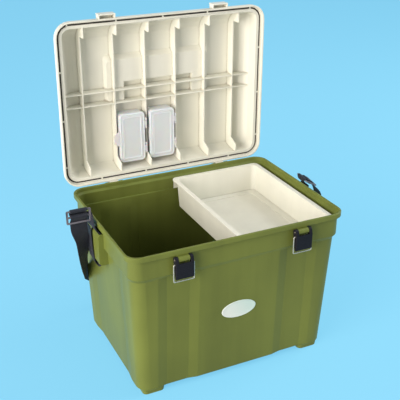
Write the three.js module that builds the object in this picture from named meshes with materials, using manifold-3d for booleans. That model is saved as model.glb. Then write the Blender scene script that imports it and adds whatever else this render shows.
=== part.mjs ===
import * as THREE from 'three';
import { mergeVertices } from 'three/addons/utils/BufferGeometryUtils.js';
import Module from 'manifold-3d';

const wasm = await Module();
wasm.setup();

// Fishing seat box, in millimetres. X runs to the right along the front, Y to the back, Z up.
// The tub stands with its middle on the Z axis while it is built, and the lid is drawn closed
// and then turned open about its hinge.

// Gaps that neighbouring pieces keep
const clearance = {
  touching: 0.3,
  pivot: 0.35,
  lidOverRim: 1.8,
  earBesideLug: 0.7,
  bailBesideLever: 1.2,
  boxInBay: 3.8,
  boxAtCrossRib: 23.8,
  boxAtHinge: 3.3,
};

// An overrun that carries every cut past the faces it opens
const cutOverrun = 4;

// Arc segments of a rounded corner and sides of round pieces
const detail = { corner: 6, pin: 20, knuckle: 28, oval: 44, wire: 10, bend: 4, webbingPerSpan: 3 };

// Rolled rim of the tub
const rim = {
  halfWidth: 233.3,
  halfDepth: 172.6,
  top: 324.2,
  lipHeight: 10.5,
  lipWidth: 5.3,
  edgeBevel: 1.2,
  cornerRadius: 28,
};

// Stepped collar under the rim, and the ledge that carries the tray
const collar = {
  setBack: 6.2,
  height: 50.8,
  wall: 3.4,
  cornerRadius: 24,
  seatDepth: 8.2,
  seatSlope: 4,
  ledgeDepth: 37.2,
  ledgeWidth: 4.3,
};

// Tapering wall, floor and feet
const body = {
  stepIn: 4.3,
  stepDrop: 8,
  taperWidth: 11.2,
  taperDepth: 10.3,
  wall: 3.2,
  cornerRadius: 25,
  footHeight: 10,
  floorThickness: 4,
  bottomBevel: 3,
  floorFillet: 5,
};

// Upright recesses in the front and back faces, and the shallow ones in the sides
const recess = {
  middle: 130.2,
  floorHalf: 23.5,
  slope: 19.5,
  depth: 4.1,
  sideHalf: 80,
  sideSlope: 25,
  sideDepth: 3,
};

// Feet under the four corners
const foot = { length: 48, depth: 42, inset: 8, cornerRadius: 9, draft: 1.2, embed: 2 };

// Belt-loop lugs that hold the strap on both sides
const beltLug = {
  middleY: 3,
  slotHalf: 18.2,
  cheek: 3.4,
  barReach: 4.7,
  barThickness: 3.6,
  topDrop: 20.2,
  height: 68,
  topBevel: 4,
  bottomBevel: 5,
};

// Latches: lug and lever under the rim, wire bail, and the lid's catch
const latch = {
  middle: 128,
  lugHalf: 11.5,
  lugRadius: 5.5,
  lugDrop: 5.4,
  pivotForward: 3.4,
  pivotBelowLip: 6.7,
  pinRadius: 1.5,
  earRadius: 6,
  leverHalf: 18.2,
  leverLength: 39,
  leverForward: 8,
  leverPlate: 3,
  leverEdge: 2,
  cheek: 3.6,
  heelBack: 5,
  heelShare: 0.3,
  bailPivotForward: 2,
  bailPivotBelow: 9,
  bailLength: 36,
  wireRadius: 1.25,
  bailCorner: 2.4,
  bailTip: 3.4,
};

const catchHood = { ridge: 2.4, ridgeHeight: 2.9, wall: 2.6, engagedTurn: 172 };

// Lid shell
const lid = {
  skirtThickness: 2.9,
  skirtDrop: 8.2,
  flangeThickness: 5.1,
  flangeWidth: 12.9,
  flangeBevel: 1.6,
  wall: 2.8,
  insideHeight: 48.7,
  shoulderRun: 32.3,
  shoulderRunHinge: 8.3,
  cornerRadius: 17,
  grooveHalf: 1.7,
  grooveDepth: 2.9,
};

// The shoulder's outline, as shares of its run and of its height
const shoulderShares = [
  [0, 0],
  [0.093, 0.5],
  [0.334, 0.73],
  [0.6, 0.883],
  [1, 1],
];

// Ribs inside the lid
const rib = {
  count: 6,
  spacing: 71.2,
  thickness: 2.6,
  crestDepth: 24.7,
  frontBlock: 21.5,
  hingeBlock: 16.6,
  hingeFlare: 11,
  embed: 1.4,
  crossMiddle: -1.4,
  crossSpacing: 28,
  crossThickness: 2.4,
};

// U-shaped recess in the lid's top
const grip = {
  depth: 12,
  halfWidth: 119,
  frontReach: 79,
  sideSlope: 5,
  frontSlope: 11,
  cornerRadius: 9,
  islandHalf: 81.5,
  islandReach: 30,
};

// Rubber seal in the lid's groove
const seal = { halfWidth: 1.4, height: 2.6 };

// Hinges behind the rim
const hinge = {
  middle: 130,
  axisBehindRim: 11,
  axisBelowRim: 11.05,
  knuckleRadius: 6,
  lidKnuckleHalf: 10,
  tubKnuckle: 9.4,
  pinRadius: 2,
  webDrop: 19,
  webRise: 14,
};

// Loose tray on the ledge
const tray = {
  rightGap: 8.7,
  width: 218,
  skirtDrop: 24.7,
  skirt: 3,
  flange: 3,
  flangeWidth: 7,
  cornerRadius: 12,
  bodyDepth: 62.5,
  wall: 2.6,
  draftSide: 3,
  draftEnd: 6,
  floorStep: 1.2,
  floorStepInset: 16,
};

// Small clear boxes in the lid
const tackleBox = {
  halfWidth: 29.5,
  baseWall: 1.6,
  baseDepth: 27,
  cornerRadius: 9,
  capOverhang: 0.8,
  capPlate: 1.6,
  capRim: 1.8,
  capHeight: 3.4,
  ridgeInset: 6,
  ridgeWidth: 2,
  ridgeHeight: 0.9,
  hingeReach: 3.6,
  knuckleRadius: 2.3,
  pinRadius: 1,
  pinReach: 2.6,
  tabHalf: 12,
  tabOffsetShare: 0.258,
  capKnuckleHalf: 5,
  lipLeft: 14,
  lipRight: 2.6,
  lipRootHalf: 20,
  lipTipHalf: 9,
  lipThickness: 1.6,
};

// Oval plate on the front
const label = { halfWidth: 38, halfHeight: 19, thickness: 1.2, height: 154 };

// Strap, loops and buckles
const strap = { width: 34, thickness: 1.2 };
const buckle = {
  outFromRim: 32.7,
  middleY: 8,
  overRim: 15.8,
  halfWidth: 25,
  side: 4,
  bar: 3.5,
  slot: 9,
  thickness: 3,
  cornerRadius: 3,
};
// The right buckle lies over outwards: its upper bar is the one next to the tub
const rightBuckle = { outFromRim: 24.7, middleY: 12, underRim: 5.2, lean: 27, turn: 8 };

// Values worked out from the ones above

const lipBottom = rim.top - rim.lipHeight;
const collarBottom = rim.top - collar.height;
const ledgeLevel = rim.top - collar.ledgeDepth;
const collarHalf = { x: rim.halfWidth - collar.setBack, y: rim.halfDepth - collar.setBack };
const wallTop = {
  x: collarHalf.x - body.stepIn,
  y: collarHalf.y - body.stepIn,
  z: collarBottom - body.stepDrop,
};
const wallBottom = { x: wallTop.x - body.taperWidth, y: wallTop.y - body.taperDepth, z: body.footHeight };
const beltBar = {
  face: rim.halfWidth + beltLug.barReach,
  top: rim.top - beltLug.topDrop,
  bottom: rim.top - beltLug.topDrop - beltLug.height,
};
const rimHalfInside = { x: rim.halfWidth - rim.lipWidth, y: rim.halfDepth - rim.lipWidth };

const lidOverhang = clearance.lidOverRim + lid.skirtThickness;
const lidHalf = { x: rim.halfWidth + lidOverhang, y: rim.halfDepth + lidOverhang };
const lidUnderside = rim.top + clearance.touching;
const lidCeiling = lidUnderside + lid.insideHeight;
const lidTop = lidCeiling + lid.wall;
const lidWallInset = lid.flangeWidth + lid.wall;
const ribCrest = lidUnderside + rib.crestDepth;
const gripUnderside = lidCeiling - grip.depth;

const hingeAxis = { y: rim.halfDepth + hinge.axisBehindRim, z: rim.top - hinge.axisBelowRim };

const latchPivot = { y: -rim.halfDepth - latch.pivotForward, z: lipBottom - latch.pivotBelowLip };
const bailPivot = {
  y: latchPivot.y - latch.bailPivotForward,
  z: latchPivot.z - latch.bailPivotBelow,
};
const bailHalf = latch.leverHalf + clearance.bailBesideLever + latch.wireRadius;

const radians = THREE.MathUtils.degToRad;

// Shapes and solids

function toSolid(geometry) {
  const bare = new THREE.BufferGeometry();
  bare.setAttribute('position', geometry.getAttribute('position'));
  if (geometry.index) bare.setIndex(geometry.index);
  const merged = mergeVertices(bare);
  return new wasm.Manifold(new wasm.Mesh({
    numProp: 3,
    vertProperties: new Float32Array(merged.getAttribute('position').array),
    triVerts: new Uint32Array(merged.index.array),
  }));
}

function toGeometry(solid) {
  const source = solid.getMesh();
  const geometry = new THREE.BufferGeometry();
  const positions = new Float32Array(source.numVert * 3);
  for (let i = 0; i < positions.length; i++) {
    positions[i] = source.vertProperties[Math.floor(i / 3) * source.numProp + (i % 3)];
  }
  geometry.setAttribute('position', new THREE.BufferAttribute(positions, 3));
  geometry.setIndex(new THREE.BufferAttribute(new Uint32Array(source.triVerts), 1));
  geometry.computeVertexNormals();
  return geometry;
}

function join(...solids) {
  return solids.reduce((whole, next) => whole.add(next));
}

// Skins a stack of closed rings of equal count and closes both ends with fans. The diagonals of
// the sides named in turned run the other way.
function loft(rings, turned = []) {
  const positions = [];
  const triangles = [];
  const count = rings[0].length;
  for (const p of rings.flat()) positions.push(p.x, p.y, p.z);
  for (let k = 0; k + 1 < rings.length; k++) {
    for (let i = 0; i < count; i++) {
      const next = (i + 1) % count;
      const a = k * count + i;
      const b = k * count + next;
      const c = a + count;
      const d = b + count;
      triangles.push(...(turned.includes(i) ? [a, b, c, b, d, c] : [a, b, d, a, d, c]));
    }
  }
  const caps = [[0, true], [rings.length - 1, false]];
  for (const [k, flipped] of caps) {
    const middle = new THREE.Vector3();
    for (const p of rings[k]) middle.add(p);
    middle.divideScalar(count);
    const hub = positions.length / 3;
    positions.push(middle.x, middle.y, middle.z);
    for (let i = 0; i < count; i++) {
      const a = k * count + i;
      const b = k * count + (i + 1) % count;
      triangles.push(...(flipped ? [hub, b, a] : [hub, a, b]));
    }
  }
  const geometry = new THREE.BufferGeometry();
  geometry.setAttribute('position', new THREE.BufferAttribute(new Float32Array(positions), 3));
  geometry.setIndex(triangles);
  return toSolid(geometry);
}

// Extrudes an outline given in two axes along the third, from low to high
function prism(axis, outline, low, high, holes = []) {
  const bases = {
    x: [new THREE.Vector3(0, 1, 0), new THREE.Vector3(0, 0, 1), new THREE.Vector3(1, 0, 0)],
    y: [new THREE.Vector3(0, 0, 1), new THREE.Vector3(1, 0, 0), new THREE.Vector3(0, 1, 0)],
    z: [new THREE.Vector3(1, 0, 0), new THREE.Vector3(0, 1, 0), new THREE.Vector3(0, 0, 1)],
  };
  const flat = (points) => points.map(([a, b]) => new THREE.Vector2(a, b));
  const shape = new THREE.Shape(flat(outline));
  for (const hole of holes) shape.holes.push(new THREE.Path(flat(hole)));
  const geometry = new THREE.ExtrudeGeometry(shape, {
    depth: high - low,
    bevelEnabled: false,
    curveSegments: detail.corner,
  });
  geometry.translate(0, 0, low);
  geometry.applyMatrix4(new THREE.Matrix4().makeBasis(...bases[axis]));
  return toSolid(geometry);
}

function block(x0, x1, y0, y1, z0, z1) {
  const geometry = new THREE.BoxGeometry(x1 - x0, y1 - y0, z1 - z0);
  geometry.translate((x0 + x1) / 2, (y0 + y1) / 2, (z0 + z1) / 2);
  return toSolid(geometry);
}

// Round bar along X or Y
function bar(axis, radius, low, high, across, height, sides = detail.pin) {
  const geometry = new THREE.CylinderGeometry(radius, radius, high - low, sides);
  const middle = (low + high) / 2;
  if (axis === 'x') {
    geometry.rotateZ(Math.PI / 2);
    geometry.translate(middle, across, height);
  } else {
    geometry.translate(across, middle, height);
  }
  return toSolid(geometry);
}

// Rectangle with rounded corners as points, counter-clockwise from above
function roundedRectangle(x0, x1, y0, y1, radius) {
  const points = [];
  const corners = [
    [x1 - radius, y0 + radius, -90],
    [x1 - radius, y1 - radius, 0],
    [x0 + radius, y1 - radius, 90],
    [x0 + radius, y0 + radius, 180],
  ];
  for (const [cx, cy, start] of corners) {
    for (let i = 0; i <= detail.corner; i++) {
      const angle = radians(start + (90 * i) / detail.corner);
      points.push([cx + radius * Math.cos(angle), cy + radius * Math.sin(angle)]);
    }
  }
  return points;
}

function ringAt(points, z) {
  return points.map(([x, y]) => new THREE.Vector3(x, y, z));
}

// Mirror image across the YZ plane
function mirrored(solid) {
  return solid.mirror([1, 0, 0]);
}

// Tub

// One level of the tub: a rounded rectangle whose faces carry the recesses
function tubRing(halfX, halfY, radius, depth, sideDepth, z) {
  const points = [];
  const face = [];
  for (const side of [-1, 1]) {
    const near = recess.middle - recess.floorHalf;
    const far = recess.middle + recess.floorHalf;
    const stops = [
      [near - recess.slope, 0],
      [near, depth],
      [far, depth],
      [far + recess.slope, 0],
    ].map(([x, d]) => [side * x, d]);
    face.push(...(side < 0 ? stops.reverse() : stops));
  }
  const flank = [
    [-recess.sideHalf - recess.sideSlope, 0],
    [-recess.sideHalf, sideDepth],
    [recess.sideHalf, sideDepth],
    [recess.sideHalf + recess.sideSlope, 0],
  ];
  const arc = (cx, cy, start) => {
    for (let i = 0; i <= detail.corner; i++) {
      const angle = radians(start + (90 * i) / detail.corner);
      points.push([cx + radius * Math.cos(angle), cy + radius * Math.sin(angle)]);
    }
  };
  for (const [x, d] of face) points.push([x, -halfY + d]);
  arc(halfX - radius, radius - halfY, -90);
  for (const [y, d] of flank) points.push([halfX - d, y]);
  arc(halfX - radius, halfY - radius, 0);
  for (const [x, d] of face) points.push([-x, halfY - d]);
  arc(radius - halfX, halfY - radius, 90);
  for (const [y, d] of flank) points.push([d - halfX, -y]);
  arc(radius - halfX, radius - halfY, 180);
  return ringAt(points, z);
}

function tubShell() {
  const d = recess.depth;
  const s = recess.sideDepth;
  const bevel = body.bottomBevel;
  const lipInner = rim.cornerRadius - rim.lipWidth;
  const collarInner = collar.cornerRadius - collar.wall;
  const inner = { x: collarHalf.x - collar.wall, y: collarHalf.y - collar.wall };
  const ledgeX = inner.x - collar.ledgeWidth;
  const ledgeY = inner.y - collar.ledgeWidth;
  const wallRadius = body.cornerRadius - body.wall;
  const floorTop = body.footHeight + body.floorThickness;
  const fillet = body.floorFillet;
  const seatBottom = rim.top - collar.seatDepth - collar.seatSlope;
  const outside = [
    tubRing(wallBottom.x - bevel, wallBottom.y - bevel, body.cornerRadius - bevel, d, s, wallBottom.z),
    tubRing(wallBottom.x, wallBottom.y, body.cornerRadius, d, s, wallBottom.z + bevel),
    tubRing(wallTop.x, wallTop.y, body.cornerRadius, d, s, wallTop.z),
    tubRing(collarHalf.x, collarHalf.y, collar.cornerRadius, 0, 0, collarBottom),
    tubRing(collarHalf.x, collarHalf.y, collar.cornerRadius, 0, 0, lipBottom),
    tubRing(rim.halfWidth, rim.halfDepth, rim.cornerRadius, 0, 0, lipBottom),
    tubRing(rim.halfWidth, rim.halfDepth, rim.cornerRadius, 0, 0, rim.top - rim.edgeBevel),
    tubRing(
      rim.halfWidth - rim.edgeBevel,
      rim.halfDepth - rim.edgeBevel,
      rim.cornerRadius - rim.edgeBevel,
      0,
      0,
      rim.top,
    ),
  ];
  const inside = [
    tubRing(
      rimHalfInside.x + rim.edgeBevel,
      rimHalfInside.y + rim.edgeBevel,
      lipInner + rim.edgeBevel,
      0,
      0,
      rim.top,
    ),
    tubRing(rimHalfInside.x, rimHalfInside.y, lipInner, 0, 0, rim.top - rim.edgeBevel),
    tubRing(rimHalfInside.x, rimHalfInside.y, lipInner, 0, 0, rim.top - collar.seatDepth),
    tubRing(inner.x, inner.y, collarInner, 0, 0, seatBottom),
    tubRing(inner.x, inner.y, collarInner, 0, 0, ledgeLevel),
    tubRing(ledgeX, ledgeY, collarInner, 0, 0, ledgeLevel),
    tubRing(wallTop.x - body.wall, wallTop.y - body.wall, wallRadius, d, s, wallTop.z),
    tubRing(
      wallBottom.x - body.wall,
      wallBottom.y - body.wall,
      wallRadius,
      d,
      s,
      floorTop + fillet,
    ),
    tubRing(
      wallBottom.x - body.wall - fillet,
      wallBottom.y - body.wall - fillet,
      wallRadius - fillet,
      d,
      s,
      floorTop,
    ),
  ];
  return loft([...outside, ...inside]);
}

function tubFoot(sideX, sideY) {
  const outerX = wallBottom.x - foot.inset;
  const outerY = wallBottom.y - body.bottomBevel - foot.draft;
  const rings = [[foot.draft, 0], [0, body.footHeight + foot.embed]].map(([draft, z]) => {
    const x = [sideX * (outerX - draft), sideX * (outerX - foot.length + draft)].sort((a, b) => a - b);
    const y = [sideY * (outerY - draft), sideY * (outerY - foot.depth + draft)].sort((a, b) => a - b);
    return ringAt(roundedRectangle(x[0], x[1], y[0], y[1], foot.cornerRadius), z);
  });
  return loft(rings);
}

// Bar and two cheeks on the left side; the webbing runs down behind the bar
function tubBeltLug() {
  const reach = beltLug.slotHalf + beltLug.cheek;
  const behindCollar = -collarHalf.x + collar.wall / 2;
  const behindWall = -wallTop.x + recess.sideDepth + body.wall / 2;
  const face = -beltBar.face;
  const outline = [
    [beltBar.top, face + beltLug.topBevel],
    [beltBar.top, behindCollar],
    [collarBottom + body.stepDrop, behindCollar],
    [wallTop.z, behindWall],
    [beltBar.bottom, behindWall],
    [beltBar.bottom, face + beltLug.bottomBevel],
    [beltBar.bottom + beltLug.bottomBevel, face],
    [beltBar.top - beltLug.topBevel, face],
  ];
  const lug = prism('y', outline, beltLug.middleY - reach, beltLug.middleY + reach);
  const slot = block(
    face + beltLug.barThickness,
    -wallBottom.x,
    beltLug.middleY - beltLug.slotHalf,
    beltLug.middleY + beltLug.slotHalf,
    beltBar.bottom - cutOverrun,
    beltBar.top + cutOverrun,
  );
  return lug.subtract(slot);
}

function tubLatchLug(side) {
  const x0 = side * latch.middle - latch.lugHalf;
  const x1 = side * latch.middle + latch.lugHalf;
  const embedded = -collarHalf.y + collar.wall / 2;
  const web = block(
    x0,
    x1,
    latchPivot.y,
    embedded,
    latchPivot.z - latch.lugDrop,
    lipBottom + rim.edgeBevel,
  );
  const front = block(
    x0,
    x1,
    -rim.halfDepth,
    embedded,
    latchPivot.z,
    lipBottom + rim.edgeBevel,
  );
  const nose = bar('x', latch.lugRadius, x0, x1, latchPivot.y, latchPivot.z, detail.knuckle);
  const upper = block(
    x0 - cutOverrun,
    x1 + cutOverrun,
    latchPivot.y - cutOverrun,
    -rim.halfDepth,
    latchPivot.z + latch.lugRadius - latch.lugDrop / 2,
    lipBottom + cutOverrun,
  );
  const bore = bar(
    'x',
    latch.pinRadius + clearance.pivot,
    x0 - cutOverrun,
    x1 + cutOverrun,
    latchPivot.y,
    latchPivot.z,
  );
  return join(web.subtract(upper), front, nose).subtract(bore);
}

function tubHingeLug(side, place) {
  const inner = hinge.lidKnuckleHalf + 2 * clearance.touching;
  const outer = inner + hinge.tubKnuckle;
  const middle = side * hinge.middle;
  const x = [middle + place * inner, middle + place * outer].sort((a, b) => a - b);
  const embedded = collarHalf.y - collar.wall / 2;
  const web = prism('x', [
    [embedded, hingeAxis.z - hinge.webDrop],
    [collarHalf.y + hinge.knuckleRadius / 2, hingeAxis.z - hinge.webDrop],
    [hingeAxis.y, hingeAxis.z - hinge.knuckleRadius],
    [hingeAxis.y, hingeAxis.z],
    [rim.halfDepth, hingeAxis.z],
    [rim.halfDepth, lipBottom + rim.edgeBevel],
    [embedded, lipBottom + rim.edgeBevel],
  ], x[0], x[1]);
  const knuckle = bar('x', hinge.knuckleRadius, x[0], x[1], hingeAxis.y, hingeAxis.z, detail.knuckle);
  return join(web, knuckle);
}

function hingeBore(side) {
  const reach = hinge.lidKnuckleHalf + hinge.tubKnuckle + cutOverrun;
  return bar(
    'x',
    hinge.pinRadius + clearance.pivot,
    side * hinge.middle - reach,
    side * hinge.middle + reach,
    hingeAxis.y,
    hingeAxis.z,
  );
}

function makeTub() {
  let tub = tubShell();
  for (const [sideX, sideY] of [[-1, -1], [1, -1], [-1, 1], [1, 1]]) {
    tub = tub.add(tubFoot(sideX, sideY));
  }
  const lug = tubBeltLug();
  tub = join(tub, lug, mirrored(lug));
  for (const side of [-1, 1]) {
    tub = tub.add(tubLatchLug(side));
    tub = join(tub, tubHingeLug(side, -1), tubHingeLug(side, 1)).subtract(hingeBore(side));
  }
  return tub;
}

// Lid, drawn closed

// A level of the lid: insets from its outer edge at the sides, the front and the hinge
function lidRing(inset, hingeInset, radius, z) {
  const points = roundedRectangle(
    inset - lidHalf.x,
    lidHalf.x - inset,
    inset - lidHalf.y,
    lidHalf.y - hingeInset,
    radius,
  );
  return ringAt(points, z);
}

// Levels of the wall and shoulder, from the flange to the top, offset outwards by a thickness
function shoulderRings(startInset, startZ, endZ) {
  return shoulderShares.map(([runShare, riseShare]) => lidRing(
    startInset + lid.shoulderRun * runShare,
    startInset + lid.shoulderRunHinge * runShare,
    lid.cornerRadius,
    startZ + (endZ - startZ) * riseShare,
  ));
}

function lidShell() {
  const flangeTop = lidUnderside + lid.flangeThickness;
  const skirtBottom = lidUnderside - lid.skirtDrop;
  const outerRadius = rim.cornerRadius + lidOverhang;
  const level = (inset, z) => lidRing(inset, inset, Math.max(outerRadius - inset, lid.cornerRadius), z);
  const grooveMiddle = lidOverhang + rim.lipWidth / 2;
  const grooveTop = lidUnderside + lid.grooveDepth;
  const inside = shoulderRings(lidWallInset, lidUnderside, lidCeiling).reverse();
  const underside = [
    level(grooveMiddle + lid.grooveHalf, lidUnderside),
    level(grooveMiddle + lid.grooveHalf, grooveTop),
    level(grooveMiddle - lid.grooveHalf, grooveTop),
    level(grooveMiddle - lid.grooveHalf, lidUnderside),
    level(lid.skirtThickness, lidUnderside),
    level(lid.skirtThickness, skirtBottom),
    level(0, skirtBottom),
    level(0, flangeTop - lid.flangeBevel),
    level(lid.flangeBevel, flangeTop),
  ];
  const outside = shoulderRings(lid.flangeWidth, flangeTop, lidTop);
  return loft([...inside, ...underside, ...outside]);
}

// The hollow under the lid grown half-way into its wall, which trims ribs and bosses
function lidCore() {
  const half = lid.wall / 2;
  return loft(shoulderRings(lidWallInset - half, lidUnderside, lidCeiling + half));
}

function lidRibs() {
  const front = -lidHalf.y + lidWallInset;
  const back = lidHalf.y - lidWallInset;
  const top = lidCeiling + lid.wall;
  const outline = [
    [front - rib.embed, lidUnderside],
    [front + rib.frontBlock, lidUnderside],
    [front + rib.frontBlock, ribCrest],
    [back - rib.hingeBlock - rib.hingeFlare, ribCrest],
    [back - rib.hingeBlock, lidUnderside],
    [back + rib.embed, lidUnderside],
    [back + rib.embed, top],
    [front - rib.embed, top],
  ];
  const ribs = [];
  for (let i = 0; i < rib.count; i++) {
    const x = (i - (rib.count - 1) / 2) * rib.spacing;
    ribs.push(prism('x', outline, x - rib.thickness / 2, x + rib.thickness / 2));
  }
  for (const side of [-1, 1]) {
    const y = rib.crossMiddle + (side * rib.crossSpacing) / 2;
    ribs.push(block(
      -lidHalf.x,
      lidHalf.x,
      y - rib.crossThickness / 2,
      y + rib.crossThickness / 2,
      ribCrest,
      top,
    ));
  }
  return join(...ribs);
}

const gripBack = rib.crossMiddle + rib.crossSpacing / 2 + rib.crossThickness / 2;

// Flaring block between two levels, used for the boss below and, one wall smaller, for the recess
function gripBlock(inset, low, high) {
  const levels = [[0, low], [1, high]].map(([share, z]) => ringAt(roundedRectangle(
    inset - grip.halfWidth - grip.sideSlope * share,
    grip.halfWidth + grip.sideSlope * share - inset,
    inset - grip.frontReach - grip.frontSlope * share,
    gripBack - inset,
    grip.cornerRadius - inset,
  ), z));
  return loft(levels);
}

function gripBoss() {
  const boss = gripBlock(0, gripUnderside, lidCeiling + lid.wall / 2);
  const island = block(
    -grip.islandHalf,
    grip.islandHalf,
    -grip.islandReach,
    gripBack - rib.crossThickness,
    gripUnderside - cutOverrun,
    lidCeiling,
  );
  return boss.subtract(island);
}

function gripRecess() {
  const hollow = gripBlock(lid.wall, gripUnderside + lid.wall, lidTop + lid.wall);
  const island = block(
    -grip.islandHalf - lid.wall,
    grip.islandHalf + lid.wall,
    -grip.islandReach - lid.wall,
    gripBack + cutOverrun,
    gripUnderside,
    lidTop + lid.wall + cutOverrun,
  );
  return hollow.subtract(island);
}

// Hollow hood on the lid's front edge, with the ridge that holds the bail
function lidCatch(side) {
  const middle = side * latch.middle;
  const faceY = -lidHalf.y;
  const bottom = lidUnderside - lid.skirtDrop;
  const turn = radians(catchHood.engagedTurn);
  const wireZ = bailPivot.z - latch.bailLength * Math.cos(turn);
  const wireY = bailPivot.y - latch.bailLength * Math.sin(turn);
  const seat = wireZ - latch.wireRadius - clearance.touching;
  const ridgeBack = wireY - latch.wireRadius - clearance.pivot;
  const front = ridgeBack - catchHood.ridge;
  const solidLevel = lidUnderside + lid.flangeThickness - lid.flangeBevel;
  const hood = prism('x', [
    [faceY + lid.skirtThickness / 2, bottom],
    [front, bottom],
    [front, seat + catchHood.ridgeHeight],
    [ridgeBack, seat + catchHood.ridgeHeight],
    [ridgeBack, seat],
    [faceY + lid.flangeWidth, seat],
    [faceY + lid.flangeWidth, solidLevel],
    [faceY + lid.skirtThickness / 2, solidLevel],
  ], middle - latch.leverHalf, middle + latch.leverHalf);
  const hollow = block(
    middle - latch.leverHalf + catchHood.wall,
    middle + latch.leverHalf - catchHood.wall,
    front + catchHood.wall,
    faceY,
    bottom - cutOverrun,
    seat - catchHood.wall,
  );
  return hood.subtract(hollow);
}

function lidKnuckle(side) {
  const x0 = side * hinge.middle - hinge.lidKnuckleHalf;
  const x1 = side * hinge.middle + hinge.lidKnuckleHalf;
  const flangeBack = lidHalf.y - lid.skirtThickness / 2;
  const web = prism('x', [
    [flangeBack, lidUnderside - lid.skirtDrop],
    [hingeAxis.y, hingeAxis.z],
    [hingeAxis.y + hinge.knuckleRadius, hingeAxis.z],
    [hingeAxis.y, hingeAxis.z + hinge.webRise],
    [flangeBack, hingeAxis.z + hinge.webRise],
  ], x0, x1);
  const knuckle = bar('x', hinge.knuckleRadius, x0, x1, hingeAxis.y, hingeAxis.z, detail.knuckle);
  return join(web, knuckle);
}

function makeLid() {
  const core = lidCore();
  let shell = join(lidShell(), gripBoss().intersect(core), lidRibs().intersect(core));
  shell = shell.subtract(gripRecess());
  for (const side of [-1, 1]) {
    shell = join(shell, lidCatch(side), lidKnuckle(side)).subtract(hingeBore(side));
  }
  return shell;
}

function makeSeal() {
  const middle = lidOverhang + rim.lipWidth / 2;
  const radius = rim.cornerRadius - rim.lipWidth / 2;
  const outline = (offset) => roundedRectangle(
    middle - offset - lidHalf.x,
    lidHalf.x - middle + offset,
    middle - offset - lidHalf.y,
    lidHalf.y - middle + offset,
    radius + offset,
  );
  return prism(
    'z',
    outline(seal.halfWidth),
    lidUnderside,
    lidUnderside + seal.height,
    [outline(-seal.halfWidth)],
  );
}

function makeHingePin(side) {
  const reach = hinge.lidKnuckleHalf + hinge.tubKnuckle;
  return bar(
    'x',
    hinge.pinRadius,
    side * hinge.middle - reach,
    side * hinge.middle + reach,
    hingeAxis.y,
    hingeAxis.z,
  );
}

// Latches

function makeLever(side) {
  const middle = side * latch.middle;
  const x0 = middle - latch.leverHalf;
  const x1 = middle + latch.leverHalf;
  const front = latchPivot.y - latch.leverForward;
  const bottom = latchPivot.z - latch.leverLength;
  const plateTop = latchPivot.z - latch.lugDrop - clearance.earBesideLug;
  const profile = prism('x', [
    [front + latch.leverEdge, bottom],
    [front + latch.leverPlate + latch.leverEdge, bottom],
    [latchPivot.y + latch.heelBack, bottom + latch.leverLength * (1 - latch.heelShare)],
    [latchPivot.y + latch.heelBack, latchPivot.z],
    [latchPivot.y - latch.earRadius, latchPivot.z],
    [front, latchPivot.z - latch.earRadius],
    [front, bottom + latch.leverEdge],
  ], x0, x1);
  const ears = bar('x', latch.earRadius, x0, x1, latchPivot.y, latchPivot.z, detail.knuckle);
  const lugRoom = block(
    middle - latch.lugHalf - clearance.earBesideLug,
    middle + latch.lugHalf + clearance.earBesideLug,
    front - cutOverrun,
    latchPivot.y + latch.earRadius + cutOverrun,
    plateTop,
    latchPivot.z + latch.earRadius + cutOverrun,
  );
  const channel = block(
    x0 + latch.cheek,
    x1 - latch.cheek,
    front + latch.leverPlate,
    latchPivot.y + latch.earRadius + cutOverrun,
    bottom + latch.leverPlate,
    plateTop + latch.leverEdge,
  );
  const pinBore = bar(
    'x',
    latch.pinRadius + clearance.pivot,
    x0 - cutOverrun,
    x1 + cutOverrun,
    latchPivot.y,
    latchPivot.z,
  );
  const wireBore = bar(
    'x',
    latch.wireRadius + clearance.pivot,
    x0 - cutOverrun,
    x1 + cutOverrun,
    bailPivot.y,
    bailPivot.z,
  );
  return join(profile, ears).subtract(join(lugRoom, channel, pinBore, wireBore));
}

function makeLatchPin(side) {
  const middle = side * latch.middle;
  const reach = latch.leverHalf - clearance.touching;
  return bar('x', latch.pinRadius, middle - reach, middle + reach, latchPivot.y, latchPivot.z);
}

// Straight stretches with rounded corners between them
function roundedPath(points, radius) {
  const path = new THREE.CurvePath();
  let start = points[0];
  for (let i = 1; i + 1 < points.length; i++) {
    const corner = points[i];
    const before = corner.clone().add(points[i - 1].clone().sub(corner).setLength(radius));
    const after = corner.clone().add(points[i + 1].clone().sub(corner).setLength(radius));
    path.add(new THREE.LineCurve3(start, before));
    path.add(new THREE.QuadraticBezierCurve3(before, corner, after));
    start = after;
  }
  path.add(new THREE.LineCurve3(start, points[points.length - 1]));
  return path;
}

// Round wire along a path that lies in a plane facing Y
function wire(path, radius) {
  const points = path.getPoints(detail.bend);
  const flatNormal = new THREE.Vector3(0, 1, 0);
  const rings = points.map((centre, i) => {
    const before = points[Math.max(i - 1, 0)];
    const after = points[Math.min(i + 1, points.length - 1)];
    const side = after.clone().sub(before).cross(flatNormal).normalize();
    const ring = [];
    for (let k = 0; k < detail.wire; k++) {
      const angle = (k / detail.wire) * Math.PI * 2;
      ring.push(centre.clone()
        .addScaledVector(side, radius * Math.cos(angle))
        .addScaledVector(flatNormal, radius * Math.sin(angle)));
    }
    return ring;
  });
  const solid = loft(rings);
  return solid.volume() < 0 ? loft(rings.map((ring) => ring.reverse())) : solid;
}

// Wire bail hanging from the lever's sides
function makeBail(side) {
  const middle = side * latch.middle;
  const tip = latch.leverHalf - latch.bailTip;
  const low = bailPivot.z - latch.bailLength;
  const at = (x, z) => new THREE.Vector3(middle + x, bailPivot.y, z);
  return wire(roundedPath([
    at(-tip, bailPivot.z),
    at(-bailHalf, bailPivot.z),
    at(-bailHalf, low),
    at(bailHalf, low),
    at(bailHalf, bailPivot.z),
    at(tip, bailPivot.z),
  ], latch.bailCorner), latch.wireRadius);
}

// Tray

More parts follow.
